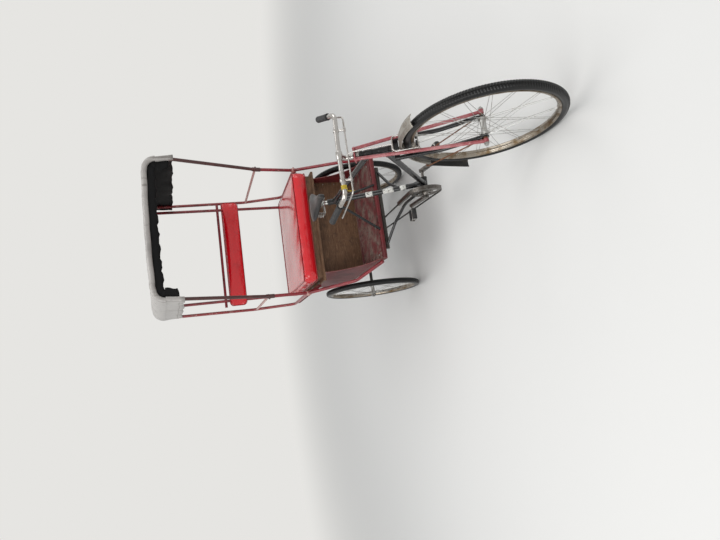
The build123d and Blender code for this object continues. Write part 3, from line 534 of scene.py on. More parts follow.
# %% [markdown]
# ## Tyres
# A roadster tyre is a round casing with a moulded tread about 2.4 mm deep: a middle rib, and on each
# side of it slanted bars as wide as their gaps. A texture would go flat at the outline, where the
# photograph shows the notches, so the tread is real relief: the profile is spun in short steps and
# the points of a groove lie lower. One block takes four steps.

# %% Build the three tyres
block_length, tread_depth, casing = 12.0, 2.4, 19.5
tread_edge = radians(62)
right_side = (2.5, 6.5, 11, 17, 23, 30, 36, 42, 48, 54, 60, 68, 80, 92, 104, 118, 134, 148)
section = [radians(a) for a in (*(-a for a in reversed(right_side)), *right_side)]


def groove(step, reach):
    """How deep the tread is cut, at a step round the tyre and a reach from 0 to 1 at the tread's edge."""
    if reach >= 1:
        return tread_depth * max(0.0, 1.6 - reach) / 0.6
    if reach < 0.08:
        return 0.0
    cut = reach < 0.14 or reach > 0.92 or (step + round(reach * 3)) % 4 < 2
    return tread_depth if cut else 0.0


def build_tyre(name, hub, body):
    """A tyre with a moulded tread and ribbed side walls, in place of its plain solid."""
    half, outer = half_size(name, 1), half_size(name, 2)
    steps = 4 * round(2 * pi * outer / block_length)
    rows = []
    for step, turn in enumerate(circle(steps)):
        row = []
        for angle in section:
            reach = abs(angle) / tread_edge
            rib = 0.35 if 1.45 < reach < 1.6 else 0.0
            sink = groove(step, reach)
            radius = outer - casing + (casing - sink * 0.9) * cos(angle)
            side = (half - sink * 0.25 + rib - 0.4) * sin(angle)
            row.append(off(hub, cos(turn) * radius, 0, sin(turn) * radius) + Vector((0, side * mm, 0)))
        rows.append(row)
    shape = Shape()
    shape.skin(rows, looped=True)
    shape.make(name + "_treaded", tyre_rubber, "tyre", body, replaces=name, sharp=28)


build_tyre("front_tyre", front_hub, "front_wheel_set")
build_tyre("rear_right_tyre", right_hub, "rear_axle_set")
build_tyre("rear_left_tyre", left_hub, "rear_left_wheel_set")

# %% [markdown]
# ## Wire wheels
# A Westwood rim is rolled from one strip: two round beads on the sides for the tyre's edges and a
# rounded well between them. Thirty-six spokes of 2.3 mm wire run from two flanges, crossed in fours,
# each screwed into a brass nipple. The spokes are thin rods whose head is bent through its flange hole.

# %% Build the rims, spokes and hubs
rim_half = ((1, 13), (2.6, 14.6), (2.6, 15.8), (0.5, 16.4), (-3, 16.2), (-6.5, 14), (-9, 10.5),
            (-9.4, 7.6), (-11.4, 5.4), (-12.6, 2.8), (-13, 0))
strip_thickness, flange_at, barrel = 1.3, 33, 14
spoke_radius, spoke_gap, hole_inset, nipple_length = 1.15, 12, 3, 13
holes, cross_angle = 9, radians(64)


def build_wire_wheel(name, hub, body, flange, axle):
    """A rolled rim and a laced hub in place of the plain wheel."""
    seat = half_size(name, 2)
    rim = Shape()
    outside = mirrored([(seat + rise, y) for rise, y in rim_half])
    inside = [(r + strip_thickness, y * 0.9) for r, y in reversed(outside[2:-2])]
    rim.turned(hub, (0, 1, 0), outside + inside, steps=144, looped=True)
    rim.make(name + "_rim", rim_chrome_painted_reflection, "wheel_plate", body, replaces=name, sharp=50)

    laced = Shape()
    for side in (-1, 1):
        for turn, skew in ((1, 0), (-1, 10)):
            for index in range(holes):
                angle = radians(index * 360 / holes + skew + (20 if side > 0 else 0))
                lean = angle + turn * cross_angle
                face = side * (flange_at + turn * 1.7)
                x, z = (flange - hole_inset) * cos(angle), (flange - hole_inset) * sin(angle)
                head, hook = off(hub, x, face - turn * side * 3.4, z), off(hub, x, face, z)
                reach = seat - spoke_gap
                end = off(hub, reach * cos(lean), side * 2.5, reach * sin(lean))
                run = (end - hook).normalized()
                laced.rod([head, hook, hook + run * 2 * mm, end], spoke_radius, sides=6)
                nipple = end - run * nipple_length * mm
                laced.rod([nipple, nipple + run * 1 * mm, end], [1.2, 2.0, 2.0])
    laced.sleeve(hub, (0, 1, 0), [
        (axle, -39), (barrel + 2, -39), (barrel + 4, -37), (barrel + 3, -34.6), (flange, -34.6),
        (flange + 0.8, -33.4), (flange, -32.2), (barrel + 1, -32), (barrel, -27), (barrel - 1, -12)], 32)
    laced.make(name + "_spokes", zinc_plate, "wheel_plate", body, sharp=40)


build_wire_wheel("front_wheel", front_hub, "front_wheel_set", flange=20, axle=6)
build_wire_wheel("rear_right_wheel", right_hub, "rear_axle_set", flange=24, axle=12)
build_wire_wheel("rear_left_wheel", left_hub, "rear_left_wheel_set", flange=24, axle=12)

# %% [markdown]
# ## The hood
# The hood is one sheet of coated cloth, light grey outside and black inside, pulled over two bent tubes
# and three slats. It hangs down as a flap on each side, and its front and rear edges are rolled round the
# tubes. A cloth this tight hardly moves, so its form is written as one curved surface: an arch across,
# a slope along, shallow dips between the slats, and a wavy hem. A thin solidify gives it two faces.

# %% Shape the hood as one curved sheet
hood_half, hood_end = half_size("hood", 1), span("hood", 0)[1]
hood_rise, hood_corner, lip = 90.0, 82.0, 17.0
hem_rear, hem_front = 1755, 1686
front_roof = span("hood", 2)[1] - hood_rise
flap_shares = [share / 100 for share in (0, 26, 29, 34, 45, 58, 72, 86, 100)]


def roof(ahead):
    """The roof's height in mm over a place ahead of the rear axle."""
    return front_roof + hood_rise * (hood_end - ahead) / (2 * hood_end)


def hem_height(ahead):
    """The height of the side flap's edge, higher at the rear and a little wavy."""
    level = hem_rear + (hem_front - hem_rear) * (ahead + hood_end) / (2 * hood_end)
    return level + 3.5 * sin(ahead / 47.0) + 2.0 * sin(ahead / 19.0 + 1.0)


def hood_section(ahead, inward=0.0):
    """The sheet's line across the vehicle at one place along it, as (side, height, lean, lift) in mm."""
    top, line = roof(ahead), []
    low, high = hem_height(ahead), top - hood_corner
    for share in flap_shares:
        height = low + (high - low) * share
        hem_step = 1.6 if share < 0.28 else 0
        wave = (1 - share) ** 2 * (5 * sin(ahead / 61.0) + 2.5 * sin(ahead / 23.0)) + hem_step
        pull = exp(-((abs(ahead) - 430) / 160) ** 2)
        fold = 2.4 * sin((ahead * 0.8 + height * 1.3) / 23.0) * share * pull
        line.append((-(hood_half + wave + fold - 3), height, -1.0, 0.0))
    for turn in (pi / 2 * k / 9 for k in range(10)):
        side = -(hood_half - hood_corner) - hood_corner * cos(turn)
        line.append((side, high + hood_corner * sin(turn), -cos(turn), sin(turn)))
    left_half = list(line)
    for k in range(1, 40):
        side = -hood_half + hood_corner + 2 * (hood_half - hood_corner) * k / 40
        dip = 6.5 * abs(sin(pi * side / 219.0)) * sin(pi * (ahead + hood_end) / (2 * hood_end)) ** 0.5
        crown = 10 * (1 - (side / hood_half) ** 2)
        ripple = 1.4 * sin(side / 33.0 + ahead / 140.0) * sin(ahead / 52.0 - side / 210.0)
        line.append((side, top + crown - dip + ripple, 0.0, 1.0))
    line += [(-side, height, -lean, lift) for side, height, lean, lift in reversed(left_half)]
    return [(side - lean * inward, height - lift * inward, lean, lift)
            for side, height, lean, lift in line]


sheet = Shape()
flat_end = hood_end - lip
roll = [(lip * sin(t), lip * (1 - cos(t))) for t in (radians(a) for a in range(25, 201, 25))]
stations = [(-flat_end - out, inward) for out, inward in reversed(roll)]
stations += [(-flat_end + 2 * flat_end * k / 44, 0.0) for k in range(45)]
stations += [(flat_end + out, inward) for out, inward in roll]
sheet.skin([[spot(ahead, side, height) for side, height, lean, lift in hood_section(ahead, inward)]
            for ahead, inward in stations], closed=False)
canopy = sheet.make("hood_canopy", hood_vinyl, "hood_cover", replaces="hood", sharp=80)
canopy.data.materials.append(lining_vinyl)
length = (2 * hood_end + 2 * lip * (radians(200) - 1)) * mm
if sum(face.normal.z * face.area for face in canopy.data.polygons) < 0:
    canopy.data.flip_normals()
skin = canopy.modifiers.new("cloth_thickness", "SOLIDIFY")
skin.thickness, skin.offset, skin.material_offset = 2.2 * mm, -1, 1

# %% [markdown]
# Inside the front edge the black lining is folded over into a thick border of about 55 mm, bunched where
# it ends on each side. It is a soft tube of folded cloth along the front hoop. The hem of each side flap
# is sewn with a row of long stitches.

# %% Shape the black border inside the front edge, and stitch the hems
border_end = 1700
border = Shape()
path = [point for point in hood_section(hood_end - 24, 52.0) if point[1] > border_end]
rings = []
for index, (side, height, lean, lift) in enumerate(path):
    from_end = min(index, len(path) - 1 - index)
    full = min(1.0, 0.55 + from_end * 0.2)
    bunch = 1 + 0.14 * sin(index * 1.3) + 0.08 * sin(index * 2.9 + 1)
    bunch += 0.2 * exp(-((from_end - 5) / 4) ** 2)
    wide, thick = 29 * full * bunch, 9.5 * (1 + 0.2 * sin(index * 0.9))
    across = Vector((0, -lean, -lift))
    place = spot(hood_end - 26, side, height) - across * (1 - full) * 22 * mm
    rings.append([place + across * wide * mm * cos(t) + Vector((thick * mm * sin(t), 0, 0))
                  for t in circle(14)])
border.skin(rings, capped=True)
border_piece = border.make("hood_front_border", lining_vinyl, "hood_cover", sharp=80)

seam = Shape()
for side in (-1, 1):
    for ahead in range(-470, 470, 12):
        stitch = []
        for place in (ahead, ahead + 8):
            near = hood_section(place)
            across, height = (near[1][n] * 0.6 + near[2][n] * 0.4 for n in (0, 1))
            stitch.append(spot(place, -side * (across - 1.4), height))
        seam.rod(stitch, 0.7, sides=5)
seam.make("hood_hem_stitches", string_grey, "hood_cover")

# %% [markdown]
# ## The seat and the backrest
# Both are boxed covers of glossy red vinyl, stuffed with coir: a top panel and a border band sewn
# together at a welted seam. A real cover swells between its seams. So each starts as a rounded box a
# little small, the seam lines are pinned, and a short cloth simulation with inner pressure swells the
# panels. How far a point may move is capped, so that it stays a firm, sat-on seat.

# %% Stuff a cover between its seams
def rounded_ring(low, high, radius, steps=8):
    """A rounded rectangle as a closed list of points, between two opposite corners in mm."""
    ring = []
    left, right, foot, head = low[0] + radius, high[0] - radius, low[1] + radius, high[1] - radius
    for cx, cy, start in ((right, head, 0), (left, head, 90), (left, foot, 180), (right, foot, 270)):
        for k in range(steps + 1):
            t = radians(start + 90 * k / steps)
            ring.append((cx + radius * cos(t), cy + radius * sin(t)))
    return ring


def evaluated(piece):
    """A copy of the mesh as its modifiers leave it now."""
    return bpy.data.meshes.new_from_object(piece.evaluated_get(bpy.context.evaluated_depsgraph_get()))


def points_of(mesh):
    """The mesh's points as rows of an array, in metres."""
    places = np.empty(len(mesh.vertices) * 3)
    mesh.vertices.foreach_get("co", places)
    return places.reshape(-1, 3)


def in_mm(points):
    """How far ahead of the rear axle, to the left and up each row of an array lies, in mm."""
    return (points[:, 0] - rear_x) / mm, points[:, 1] / mm, points[:, 2] / mm


def stuffed(name, shape, voxel, cap, pinned, pressure=4.0):
    """Remeshes a closed start shape, swells it as cloth round its pinned points, and caps the swelling."""
    piece = shape.make(name, seat_vinyl, sharp=180)
    remesh = piece.modifiers.new("remesh", "REMESH")
    remesh.mode, remesh.voxel_size = "VOXEL", voxel * mm
    piece.data = evaluated(piece)
    piece.modifiers.clear()
    start = points_of(piece.data)
    held = piece.vertex_groups.new(name="held")
    held.add([int(i) for i in np.nonzero(pinned(start))[0]], 1.0, "REPLACE")
    cloth = piece.modifiers.new("cloth", "CLOTH")
    cloth.settings.use_pressure = True
    cloth.settings.uniform_pressure_force = pressure
    cloth.settings.effector_weights.gravity = 0
    cloth.settings.vertex_group_mass = "held"
    cloth.settings.mass = 0.3
    for frame_number in range(1, 21):
        scene.frame_set(frame_number)
    move = points_of(evaluated(piece)) - start
    size = np.linalg.norm(move, axis=1, keepdims=True)
    capped = start + move / np.maximum(size, 1e-9) * (cap * mm * np.tanh(size / (cap * mm)))
    piece.modifiers.clear()
    piece.vertex_groups.clear()
    piece.data.vertices.foreach_set("co", capped.ravel())
    scene.frame_set(1)
    print(f"{name}: swelled up to {float(size.max()) / mm:.0f} mm, capped at {cap} mm")
    return piece


def smooth_over(piece):
    """One subdivision over the finished cover."""
    level = piece.modifiers.new("smooth", "SUBSURF")
    level.levels = level.render_levels = 1
    piece.data.shade_smooth()


print("simulation", "on")

# %% [markdown]
# ### The seat cushion
# Its panels come from the simulation. What is finer than that is added to its points: two hollows sat
# into the top, creases across its front edge, and a band that bulges with puckers.

# %% Stuff the seat cushion
deck_top = span("seat_deck", 2)[1]
seam_low, seam_top = deck_top + 44, span("seat_cushion", 2)[1] - 4
seat_rear, seat_front = span("seat_cushion", 0)
seat_half = span("seat_cushion", 1)[1]
seat_ring = rounded_ring((seat_rear + 6, -seat_half + 6), (seat_front - 6, seat_half - 6), 32)
cover = Shape()
cover.skin([[spot(x + (-s if x > 0 else s) * 0.5, y + (-s if y > 0 else s) * 0.5, up) for x, y in seat_ring]
            for up, s in ((seam_low, 14), (seam_low, 0), (seam_top, 0), (seam_top, 14))], capped=True)


def seat_pinned(points):
    """The flat underside, and the seam line round the top of the seat cover."""
    ahead, side, up = in_mm(points)
    past_end = np.maximum(ahead - (seat_front - 6), (seat_rear + 6) - ahead)
    edge = np.maximum(np.abs(side) - (seat_half - 6), past_end)
    return (up < seam_low + 3) | ((np.abs(up - seam_top) < 6) & (edge > -7))


seat_cover = stuffed("seat_cushion_cover", cover, voxel=10.0, cap=24, pinned=seat_pinned)
places = points_of(seat_cover.data)
ahead, side, up = in_mm(places)
on_top = np.clip((up - seam_top + 10) / 14, 0, 1)
hollows = sum(np.exp(-((side - at) / 120) ** 2 - ((ahead + 40) / 190) ** 2) for at in (-190, 190))
creases = np.sin(side / 26 + 2.2 * np.sin(ahead / 90)) * np.exp(-((ahead - 290) / 60) ** 2)
places[:, 2] += (-9 * hollows - 1.6 * creases) * on_top * mm
band = np.sin(pi * np.clip((up - seam_low) / (seam_top - seam_low), 0, 1))
to_front, to_side = (np.clip((reach + 46) / 40, 0, 1) ** 2
                     for reach in (ahead - seat_front, np.abs(side) - seat_half))
puckers = 1 + 0.16 * np.sin(side / 31) + 0.12 * np.sin(side / 13 + 1.3)
places[:, 0] += 10 * band * to_front * puckers * mm
places[:, 1] += 8 * band * to_side * np.sign(side) * (1 + 0.15 * np.sin(ahead / 29)) * mm
seat_cover.data.vertices.foreach_set("co", places.ravel())
smooth_over(seat_cover)
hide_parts("seat_cushion")

# %% [markdown]
# ### The backrest
# A thinner pad on a board between two posts. The board keeps its back flat, and its front seam curves
# back at both ends, so a plain box would look wrong here. More pressure makes up for its small panels.

# %% Stuff the backrest
pad_rear, pad_front = span("backrest_pad", 0)
pad_foot, pad_head = span("backrest_pad", 2)
pad_half = span("backrest_pad", 1)[1]


def pad_face(side):
    """How far ahead the front seam of the backrest lies. It curves back at both ends."""
    return pad_front - 9 - 18 * np.clip((np.abs(side) - (pad_half - 45)) / 40, 0, 1) ** 2


pad_ring = rounded_ring((-pad_half + 5, pad_foot + 5), (pad_half - 5, pad_head - 5), 26)
cover = Shape()
cover.skin([[spot(pad_rear + 3, y, up) for y, up in pad_ring],
            [spot(float(pad_face(y)), y, up) for y, up in pad_ring]], capped=True)


def pad_pinned(points):
    """The board at the back, and the seam round the front face of the backrest."""
    ahead, side, up = in_mm(points)
    above = np.abs(up - (pad_foot + pad_head) / 2) - (pad_head - pad_foot) / 2
    edge = np.maximum(np.abs(side) - (pad_half - 5), above + 5)
    return (ahead < pad_rear + 8) | ((np.abs(ahead - pad_face(side)) < 5) & (edge > -6))


pad_cover = stuffed("backrest_cover", cover, voxel=7.0, cap=14, pinned=pad_pinned, pressure=18.0)
smooth_over(pad_cover)
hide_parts("backrest_pad")

# %% [markdown]
# A welt is a cord sewn into the seam. It follows the pinned lines of the simulation exactly. Under the
# cushion lies the board that it is tacked to, set back all round: the dark line in the photograph.

# %% Add the welts and the cushion's board
welt = Shape()
ring = rounded_ring((seat_rear + 5, -seat_half + 5), (seat_front - 5, seat_half - 5), 32, steps=10)
for up in (seam_top + 1, seam_low + 1):
    welt.rod([spot(x, y, up) for x, y in ring], 3.2, looped=True)
ring = rounded_ring((-pad_half + 4, pad_foot + 4), (pad_half - 4, pad_head - 4), 26)
welt.rod([spot(float(pad_face(y)), y, up) for y, up in ring], 3.0, looped=True)
welt.make("cover_welts", piping_vinyl, "seat_cover")
base = Shape()
inner = rounded_ring((seat_rear, -seat_half + 24), (seat_front - 24, seat_half - 24), 12, steps=4)
base.skin([[spot(x, y, up) for x, y in inner] for up in (deck_top, deck_top + 1, seam_low)], capped=True)
base.make("cushion_board", plywood, "plywood")

# %% [markdown]
# ## The saddle
# A roadster saddle is a broad rear, a narrow nose and a skirt that hangs below the rails, over coil
# springs. It is hidden in the photograph and follows the type. Its top is a lofted shell: one section
# every few centimetres, each a crowned arch with a rolled edge.

# %% Shape the saddle and its springs
saddle_rear, saddle_high = span("saddle", 0)[0], span("saddle", 2)[1]
# How far along, half the width, and how far the section lies below the highest one, in mm.
saddle_plan = ((0, 58, -12), (10, 78, -4), (38, 87, 0), (70, 82, -2), (105, 60, -6), (140, 38, -8),
               (180, 27, -6), (225, 20, -3), (252, 15, -4), (264, 8, -9))
shell, sections = Shape(), []
for along, half, lift in saddle_plan:
    ring = []
    for t in circle(24):
        side = half * (abs(cos(t)) ** 0.7) * (1 if cos(t) > 0 else -1)
        bulge = 15 * sin(t) if sin(t) > 0 else 15 * abs(sin(t)) ** 0.6 * -1.4
        ring.append(spot(saddle_rear + along, side, saddle_high + lift - 16 + bulge))
    sections.append(ring)
shell.skin(sections, capped=True)
saddle_piece = shell.make("saddle_top", saddle_cover, sharp=180)
smooth_over(saddle_piece)
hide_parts("saddle")

springs = Shape()
coils, coil_steps, coil_radius, coil_rise = 5, 14, 15, 48
coil_at, coil_side, coil_foot = saddle_rear + 42, 48, saddle_high - 82
for side in (-1, 1):
    coil = []
    for k in range(coils * coil_steps + 1):
        t = 2 * pi * k / coil_steps
        coil.append(spot(coil_at + coil_radius * cos(t), side * coil_side + coil_radius * sin(t),
                         coil_foot + coil_rise * k / (coils * coil_steps)))
    springs.rod(coil, 2.2)
    rail = ((42, 48, -84), (75, 40, -84), (120, 20, -70), (190, 12, -58), (238, 6, -26))
    springs.rod(bend_path([spot(saddle_rear + x, side * y, saddle_high + z) for x, y, z in rail], 30), 3.5)
springs.rod([spot(coil_at, y, saddle_high - 84) for y in (-52, 52)], 4, sides=10)
springs.make("saddle_springs", zinc_plate, "axle_steel")

# %% [markdown]
# ## The chain
# A roller chain has a pair of waisted plates for each half inch, wide and narrow in turn, on pins that
# carry rollers. Its loop follows the pitch line of both sprockets: two straight runs and two arcs. Each
# link is placed from the two points of the loop that it joins.

# %% Lay the chain link by link
pitch, ring_teeth, cog_teeth = 12.7, 44, 18
ring_pitch, cog_pitch = (pitch / (2 * sin(pi / teeth)) for teeth in (ring_teeth, cog_teeth))
cog_at, ring_at = np.array((rear_x, right_hub.z)) / mm, np.array((bracket.x, bracket.z)) / mm
along = (ring_at - cog_at) / np.linalg.norm(ring_at - cog_at)
above = np.array((-along[1], along[0]))
taper = (ring_pitch - cog_pitch) / np.linalg.norm(ring_at - cog_at)
upper, lower = (above * way * (1 - taper ** 2) ** 0.5 - along * taper for way in (1, -1))
high_turn, low_turn = atan2(upper[1], upper[0]), atan2(lower[1], lower[0])
straight = np.linalg.norm(ring_at + upper * ring_pitch - cog_at - upper * cog_pitch)
front_arc, rear_arc = ring_pitch * (high_turn - low_turn), cog_pitch * (low_turn - high_turn + 2 * pi)
loop = 2 * straight + front_arc + rear_arc
link_count = 2 * round(loop / pitch / 2)


def loop_at(distance):
    """The point of the pitch line at a distance in mm along it, ahead and up."""
    distance %= loop
    if distance < straight:
        start, end = cog_at + upper * cog_pitch, ring_at + upper * ring_pitch
        return start + (end - start) * distance / straight
    distance -= straight
    if distance < front_arc:
        turn = high_turn - distance / ring_pitch
        return ring_at + np.array((cos(turn), sin(turn))) * ring_pitch
    distance -= front_arc
    if distance < straight:
        start, end = ring_at + lower * ring_pitch, cog_at + lower * cog_pitch
        return start + (end - start) * distance / straight
    turn = low_turn - (distance - straight) / cog_pitch
    return cog_at + np.array((cos(turn), sin(turn))) * cog_pitch


plate_end, waist, wide_level, narrow_level = 4.1, 3.0, 3.4, 2.3
end_angles = [radians(a) for a in (-75, -30, 30, 75)]
roller, link_pin = [(3.8, -1.7), (3.8, 1.7)], [(1.8, -4.3), (1.8, 4.3)]
side_axis = (0, 1, 0)
chain = Shape()
for index in range(link_count):
    start, end = (loop_at(loop * k / link_count) for k in (index, index + 1))
    run = end - start
    half = np.linalg.norm(run) / 2
    outline = [(half + plate_end * cos(t), plate_end * sin(t)) for t in end_angles]
    outline += [(0, waist)] + [(-x, y) for x, y in reversed(outline)] + [(0, -waist)]
    middle = (start + end) / 2
    across = Vector((run[0], 0, run[1])).normalized()
    up = Vector((-across.z, 0, across.x))
    for side in (-1, 1):
        level = side * (wide_level if index % 2 else narrow_level)
        origin = Vector((middle[0], 0, middle[1])) * mm + Vector((0, chain_line + level * mm, 0))
        chain.plate(origin, across, up, outline, 1.0, ease=0.3)
    pin = Vector((start[0] * mm, chain_line, start[1] * mm))
    chain.turned(pin, side_axis, roller, 8)
    chain.turned(pin, side_axis, link_pin, 6)
chain.make("chain_links", dark_steel, "chain_steel", replaces="chain", sharp=30)
print(link_count, "links,", round(loop), "mm round")

# %% [markdown]
# ## Pedals, grips and brake pads
# Block pedals carry two grooved rubber bars between steel end plates. The grooves give grip and catch
# the light, so they are cut in the bar's outline, and one plate of that outline makes the bar.

# %% Build the pedals
def groove_outline(half_wide, half_high, grooves):
    """A rounded bar section whose long faces have small grooves."""
    left, wide = -half_wide + 2, 2 * half_wide - 4
    edges = [left + wide * k / grooves for k in range(grooves + 1)]
    top = []
    for a, b in zip(edges, edges[1:]):
        low = half_high - 1.2
        top += [(a + 0.4, half_high), (b - 1.2, half_high), (b - 0.9, low), (b - 0.1, low)]
    outline = [(-half_wide, half_high - 2)] + top[:-2]
    outline += [(half_wide - 2, half_high), (half_wide, half_high - 2)]
    return list(reversed(outline + [(-x, -y) for x, y in outline]))


cage = [(30 * cos(t), max(-10.5, min(10.5, 17 * sin(t)))) for t in circle(24)]
bar_ahead, cage_side = 21, 34
for side, hand in ((-1, "right"), (1, "left")):
    axle = centre_of(f"pedal_{hand}")
    rubber, steel = Shape(), Shape()
    for ahead in (-bar_ahead, bar_ahead):
        rubber.plate(off(axle, ahead, 0, 0), (1, 0, 0), (0, 0, 1), groove_outline(9, 12, 4), 62, ease=0.8)
    for level in (-cage_side, cage_side):
        steel.plate(off(axle, 0, level, 0), (1, 0, 0), (0, 0, 1), cage, 2.0)
        for ahead in (-bar_ahead, bar_ahead):
            steel.turned(off(axle, ahead, level * 1.03, 0), side_axis, [(4.2, -2.4), (4.2, 2.4)], 6)
    steel.sleeve(axle, side_axis, [(5.4, -35), (9, -35), (11, -30), (8, -24), (7.6, 0)], 20)
    body = f"{hand}_pedal"
    steel.make(f"pedal_frame_{hand}", zinc_plate, "axle_steel", body, replaces=f"pedal_{hand}")
    rubber.make(f"pedal_rubbers_{hand}", grip_rubber, "pedal_rubber", body)

# %% [markdown]
# The grips are sleeves of PVC, moulded with rings for the palm, so one profile spun round the bar
# makes each. The rod clamps, the stem's bolt and the two races of the head are turned parts too.

# %% Turn the grips and the bar's fittings
bar_middle = steer(40, 0, 650)
ring_step = 7.6
grip_profile = [(0.5, -5), (11, -5), (15.5, -3.5), (16, -1), (16, 1.5)]
for at in (4 + k * ring_step for k in range(14)):
    grip_profile += [(13.6, at), (15.4, at + 1.6), (15.6, at + 3.4), (15.2, at + 5.4), (13.8, at + 6.6)]
grip_profile += [(16.6, 111), (16.6, 114), (12, 115), (11.2, 115)]
grips, ferrules = Shape(), Shape()
for side in (-1, 1):
    end = off(bar_middle, -165, side * 262, 28)
    grips.turned(end, (off(bar_middle, 12, side * 195, 0) - end).normalized(), grip_profile, 26)
    ferrules.sleeve(off(bar_middle, 2, side * 120, 0), side_axis, [(11, -7), (13.4, -7), (14, -5)])
    ferrules.sleeve(off(bar_middle, 18, side * 120, -36), side_axis, [(4, -8), (7, -8), (7.4, 0)], 16)
grips.make("grip_sleeves", grip_rubber, "grip_rubber", "steering", replaces="grips", sharp=50)
ferrules.sleeve(off(bar_middle, 0, 0, 0), side_axis, [(11, -19), (14, -19), (15.4, -16)], 28)
ferrules.turned(steer(0, 0, 632), steer_up, [(6.5, 5), (6.5, 15), (5.4, 16)], 6)
upper_race = [(13, 0), (22, 0), (23, 2), (23, 5), (20, 6.5), (20, 8), (22, 9), (22, 12), (19, 14),
              (13, 14)]
lower_race = [(13, 0), (20, 0), (23, 4), (22, 8), (13, 8)]
for up, race in ((563, upper_race), (403, lower_race)):
    ferrules.turned(steer(0, 0, up), steer_up, race, 32, looped=True)
ferrules.make("bar_fittings", bright_plate, "bright_plate", "steering")

# %% [markdown]
# The rod brake presses two small rubber pads up against the rim, each in a pressed steel shoe. Both
# are plates with round corners, set along the fork.

# %% Build the brake pads
shoes, pads = Shape(), Shape()
for side in (-1, 1):
    pad, shoe = (rounded_ring((-x, -y), (x, y), r, steps=2) for x, y, r in ((7, 5, 2), (9, 2.4, 1.5)))
    pads.plate(steer(58, side * 16, 296), side_axis, steer_up, pad, 34, ease=1.2)
    shoes.plate(steer(58, side * 16, 290), side_axis, steer_up, shoe, 40)
pads.make("brake_pads", grip_rubber, "grip_rubber", "steering")
shoes.make("brake_shoes", zinc_plate, "bright_plate", "steering")

# %% [markdown]
# ## Frame details
# Brazed lugs thicken each joint of the bicycle frame, and the seat tube has worn white bands. A texture
# would leave the joints flat, so the lugs are turned shells over the tubes, and the bands thin ones.

# %% Add the lugs and the bands
seat_angle = radians(62)
seat_way = Vector((-cos(seat_angle), 0, sin(seat_angle)))
seat_lug = bracket + seat_way * (800 - 330) / sin(seat_angle) * mm
down_joint, top_joint = steer(0, 0, 446), steer(0, 0, 518)
down_run, top_run = (down_joint - bracket).normalized(), (top_joint - seat_lug).normalized()
lugs = Shape()
for joint, run, tube in ((down_joint, down_run, 14.5), (top_joint, top_run, 13)):
    lugs.turned(joint, -run, [(tube + 2.4, 14), (tube + 2.4, 44), (tube + 1.4, 58), (tube, 62)])
for up, top in ((424, 44), (500, 34)):
    lugs.turned(steer(0, 0, up), steer_up, [(18, 0), (20.6, 2), (20.6, top), (18, top + 4)], 28)
lugs.turned(seat_lug, seat_way, [(14.5, -34), (17, -28), (17, 30), (18, 32), (18, 38), (14.5, 40)], 26)
lugs.turned(seat_lug, top_run, [(15.4, 12), (15.4, 36), (14.4, 46), (13, 50)])
lugs.sleeve(bracket, side_axis, [(20, -35), (22, -35), (22.4, -31), (20.2, -28)], 32)
for way in (seat_way, down_run):
    lugs.turned(bracket, way, [(17.4, 12), (17.4, 34), (15.8, 44), (14.5, 48)])
lugs.make("frame_lugs", black_enamel, "black_enamel")

bands = Shape()
for start, length in ((104, 34), (176, 62), (300, 40)):
    profile = [(14.5, start), (14.9, start + 0.6), (14.9, start + length), (14.5, start + length + 0.6)]
    bands.turned(bracket, seat_way, profile, capped=False)
bands.make("seat_tube_bands", band_enamel, "black_enamel")

# %% [markdown]
# A bend of the bar is bound with yellow twine: a thin rod along a helix, with a wobble so that it
# looks wound by hand, and two loose ends.

# %% Wind the twine
twine = Shape()
twine_steps, twine_turns, bar_radius, twine_radius = 12, 9, 12.6, 1.2
wound = off(bar_middle, 7.5, -146, 0)
run = (off(bar_middle, 9.6, -168, 0) - wound).normalized()
plumb = Vector((0, 0, 1))
flat = run.cross(plumb).normalized()
loops = []
for k in range(twine_turns * twine_steps):
    t = 2 * pi * k / twine_steps
    wobble = 1 + 0.05 * sin(k * 0.7)
    around = flat * cos(t) + plumb * sin(t)
    loops.append(wound + run * k * 0.19 * mm + around * bar_radius * wobble * mm)
twine.rod(loops, twine_radius, sides=6)
for drift, length in ((3, 44), (-5, 31)):
    tail = [off(loops[-1], drift * k / 6, 1.2 * sin(k), -length * k / 6) for k in range(7)]
    twine.rod(tail, twine_radius, sides=6)
twine.make("twine_binding", string_yellow, "grip_rubber", "steering")

# %% [markdown]
# The mudguard's edges are rolled over a wire, a thin rod along each edge. The mud flap is a piece of
# sheet rubber on two bolts. It is stiff and short, so its curl is written and not simulated.

# %% Add the mudguard's beads and the flap
guard_inner, guard_half, guard_start, guard_turn = 367, 27, 82, 84
guard = Shape()
for side in (-1, 1):
    arc = [off(front_hub, (guard_inner - 1) * cos(t), side * guard_half, (guard_inner - 1) * sin(t))
           for t in (radians(guard_start + guard_turn * k / 40) for k in range(41))]
    guard.rod(arc, 2.2)
front_edge = radians(guard_start)
guard.rod([off(front_hub, reach * cos(front_edge), y, reach * sin(front_edge))
           for y, reach in ((-27, 366), (-13.5, 374), (13.5, 374), (27, 366))], 2.2)
guard.make("mudguard_beads", mudguard_steel, "mudguard_steel", "steering")

flap_low, flap_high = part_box("mud_flap")
drop = flap_high[2] - flap_low[2]
flap, rows = Shape(), []
for share in (k / 18 for k in range(19)):
    half = (26 + 12 * min(1, share * 1.1)) * mm
    row = []
    for y in (-1 + 2 * j / 12 for j in range(13)):
        curl = (6 * share ** 2 * y * y - 3 * share + 2.5 * share ** 2 * sin(3 * y + 0.6)) * mm
        row.append(Vector((flap_high[0] - 1.5 * mm + curl, y * half, flap_high[2] - share * drop)))
    rows.append(row)
flap.skin(rows, closed=False)
flap_piece = flap.make("mud_flap_sheet", flap_rubber, "black_rubber", "steering", replaces="mud_flap",
                       sharp=80)
skin = flap_piece.modifiers.new("rubber_thickness", "SOLIDIFY")
skin.thickness, skin.offset = 2.6 * mm, 0

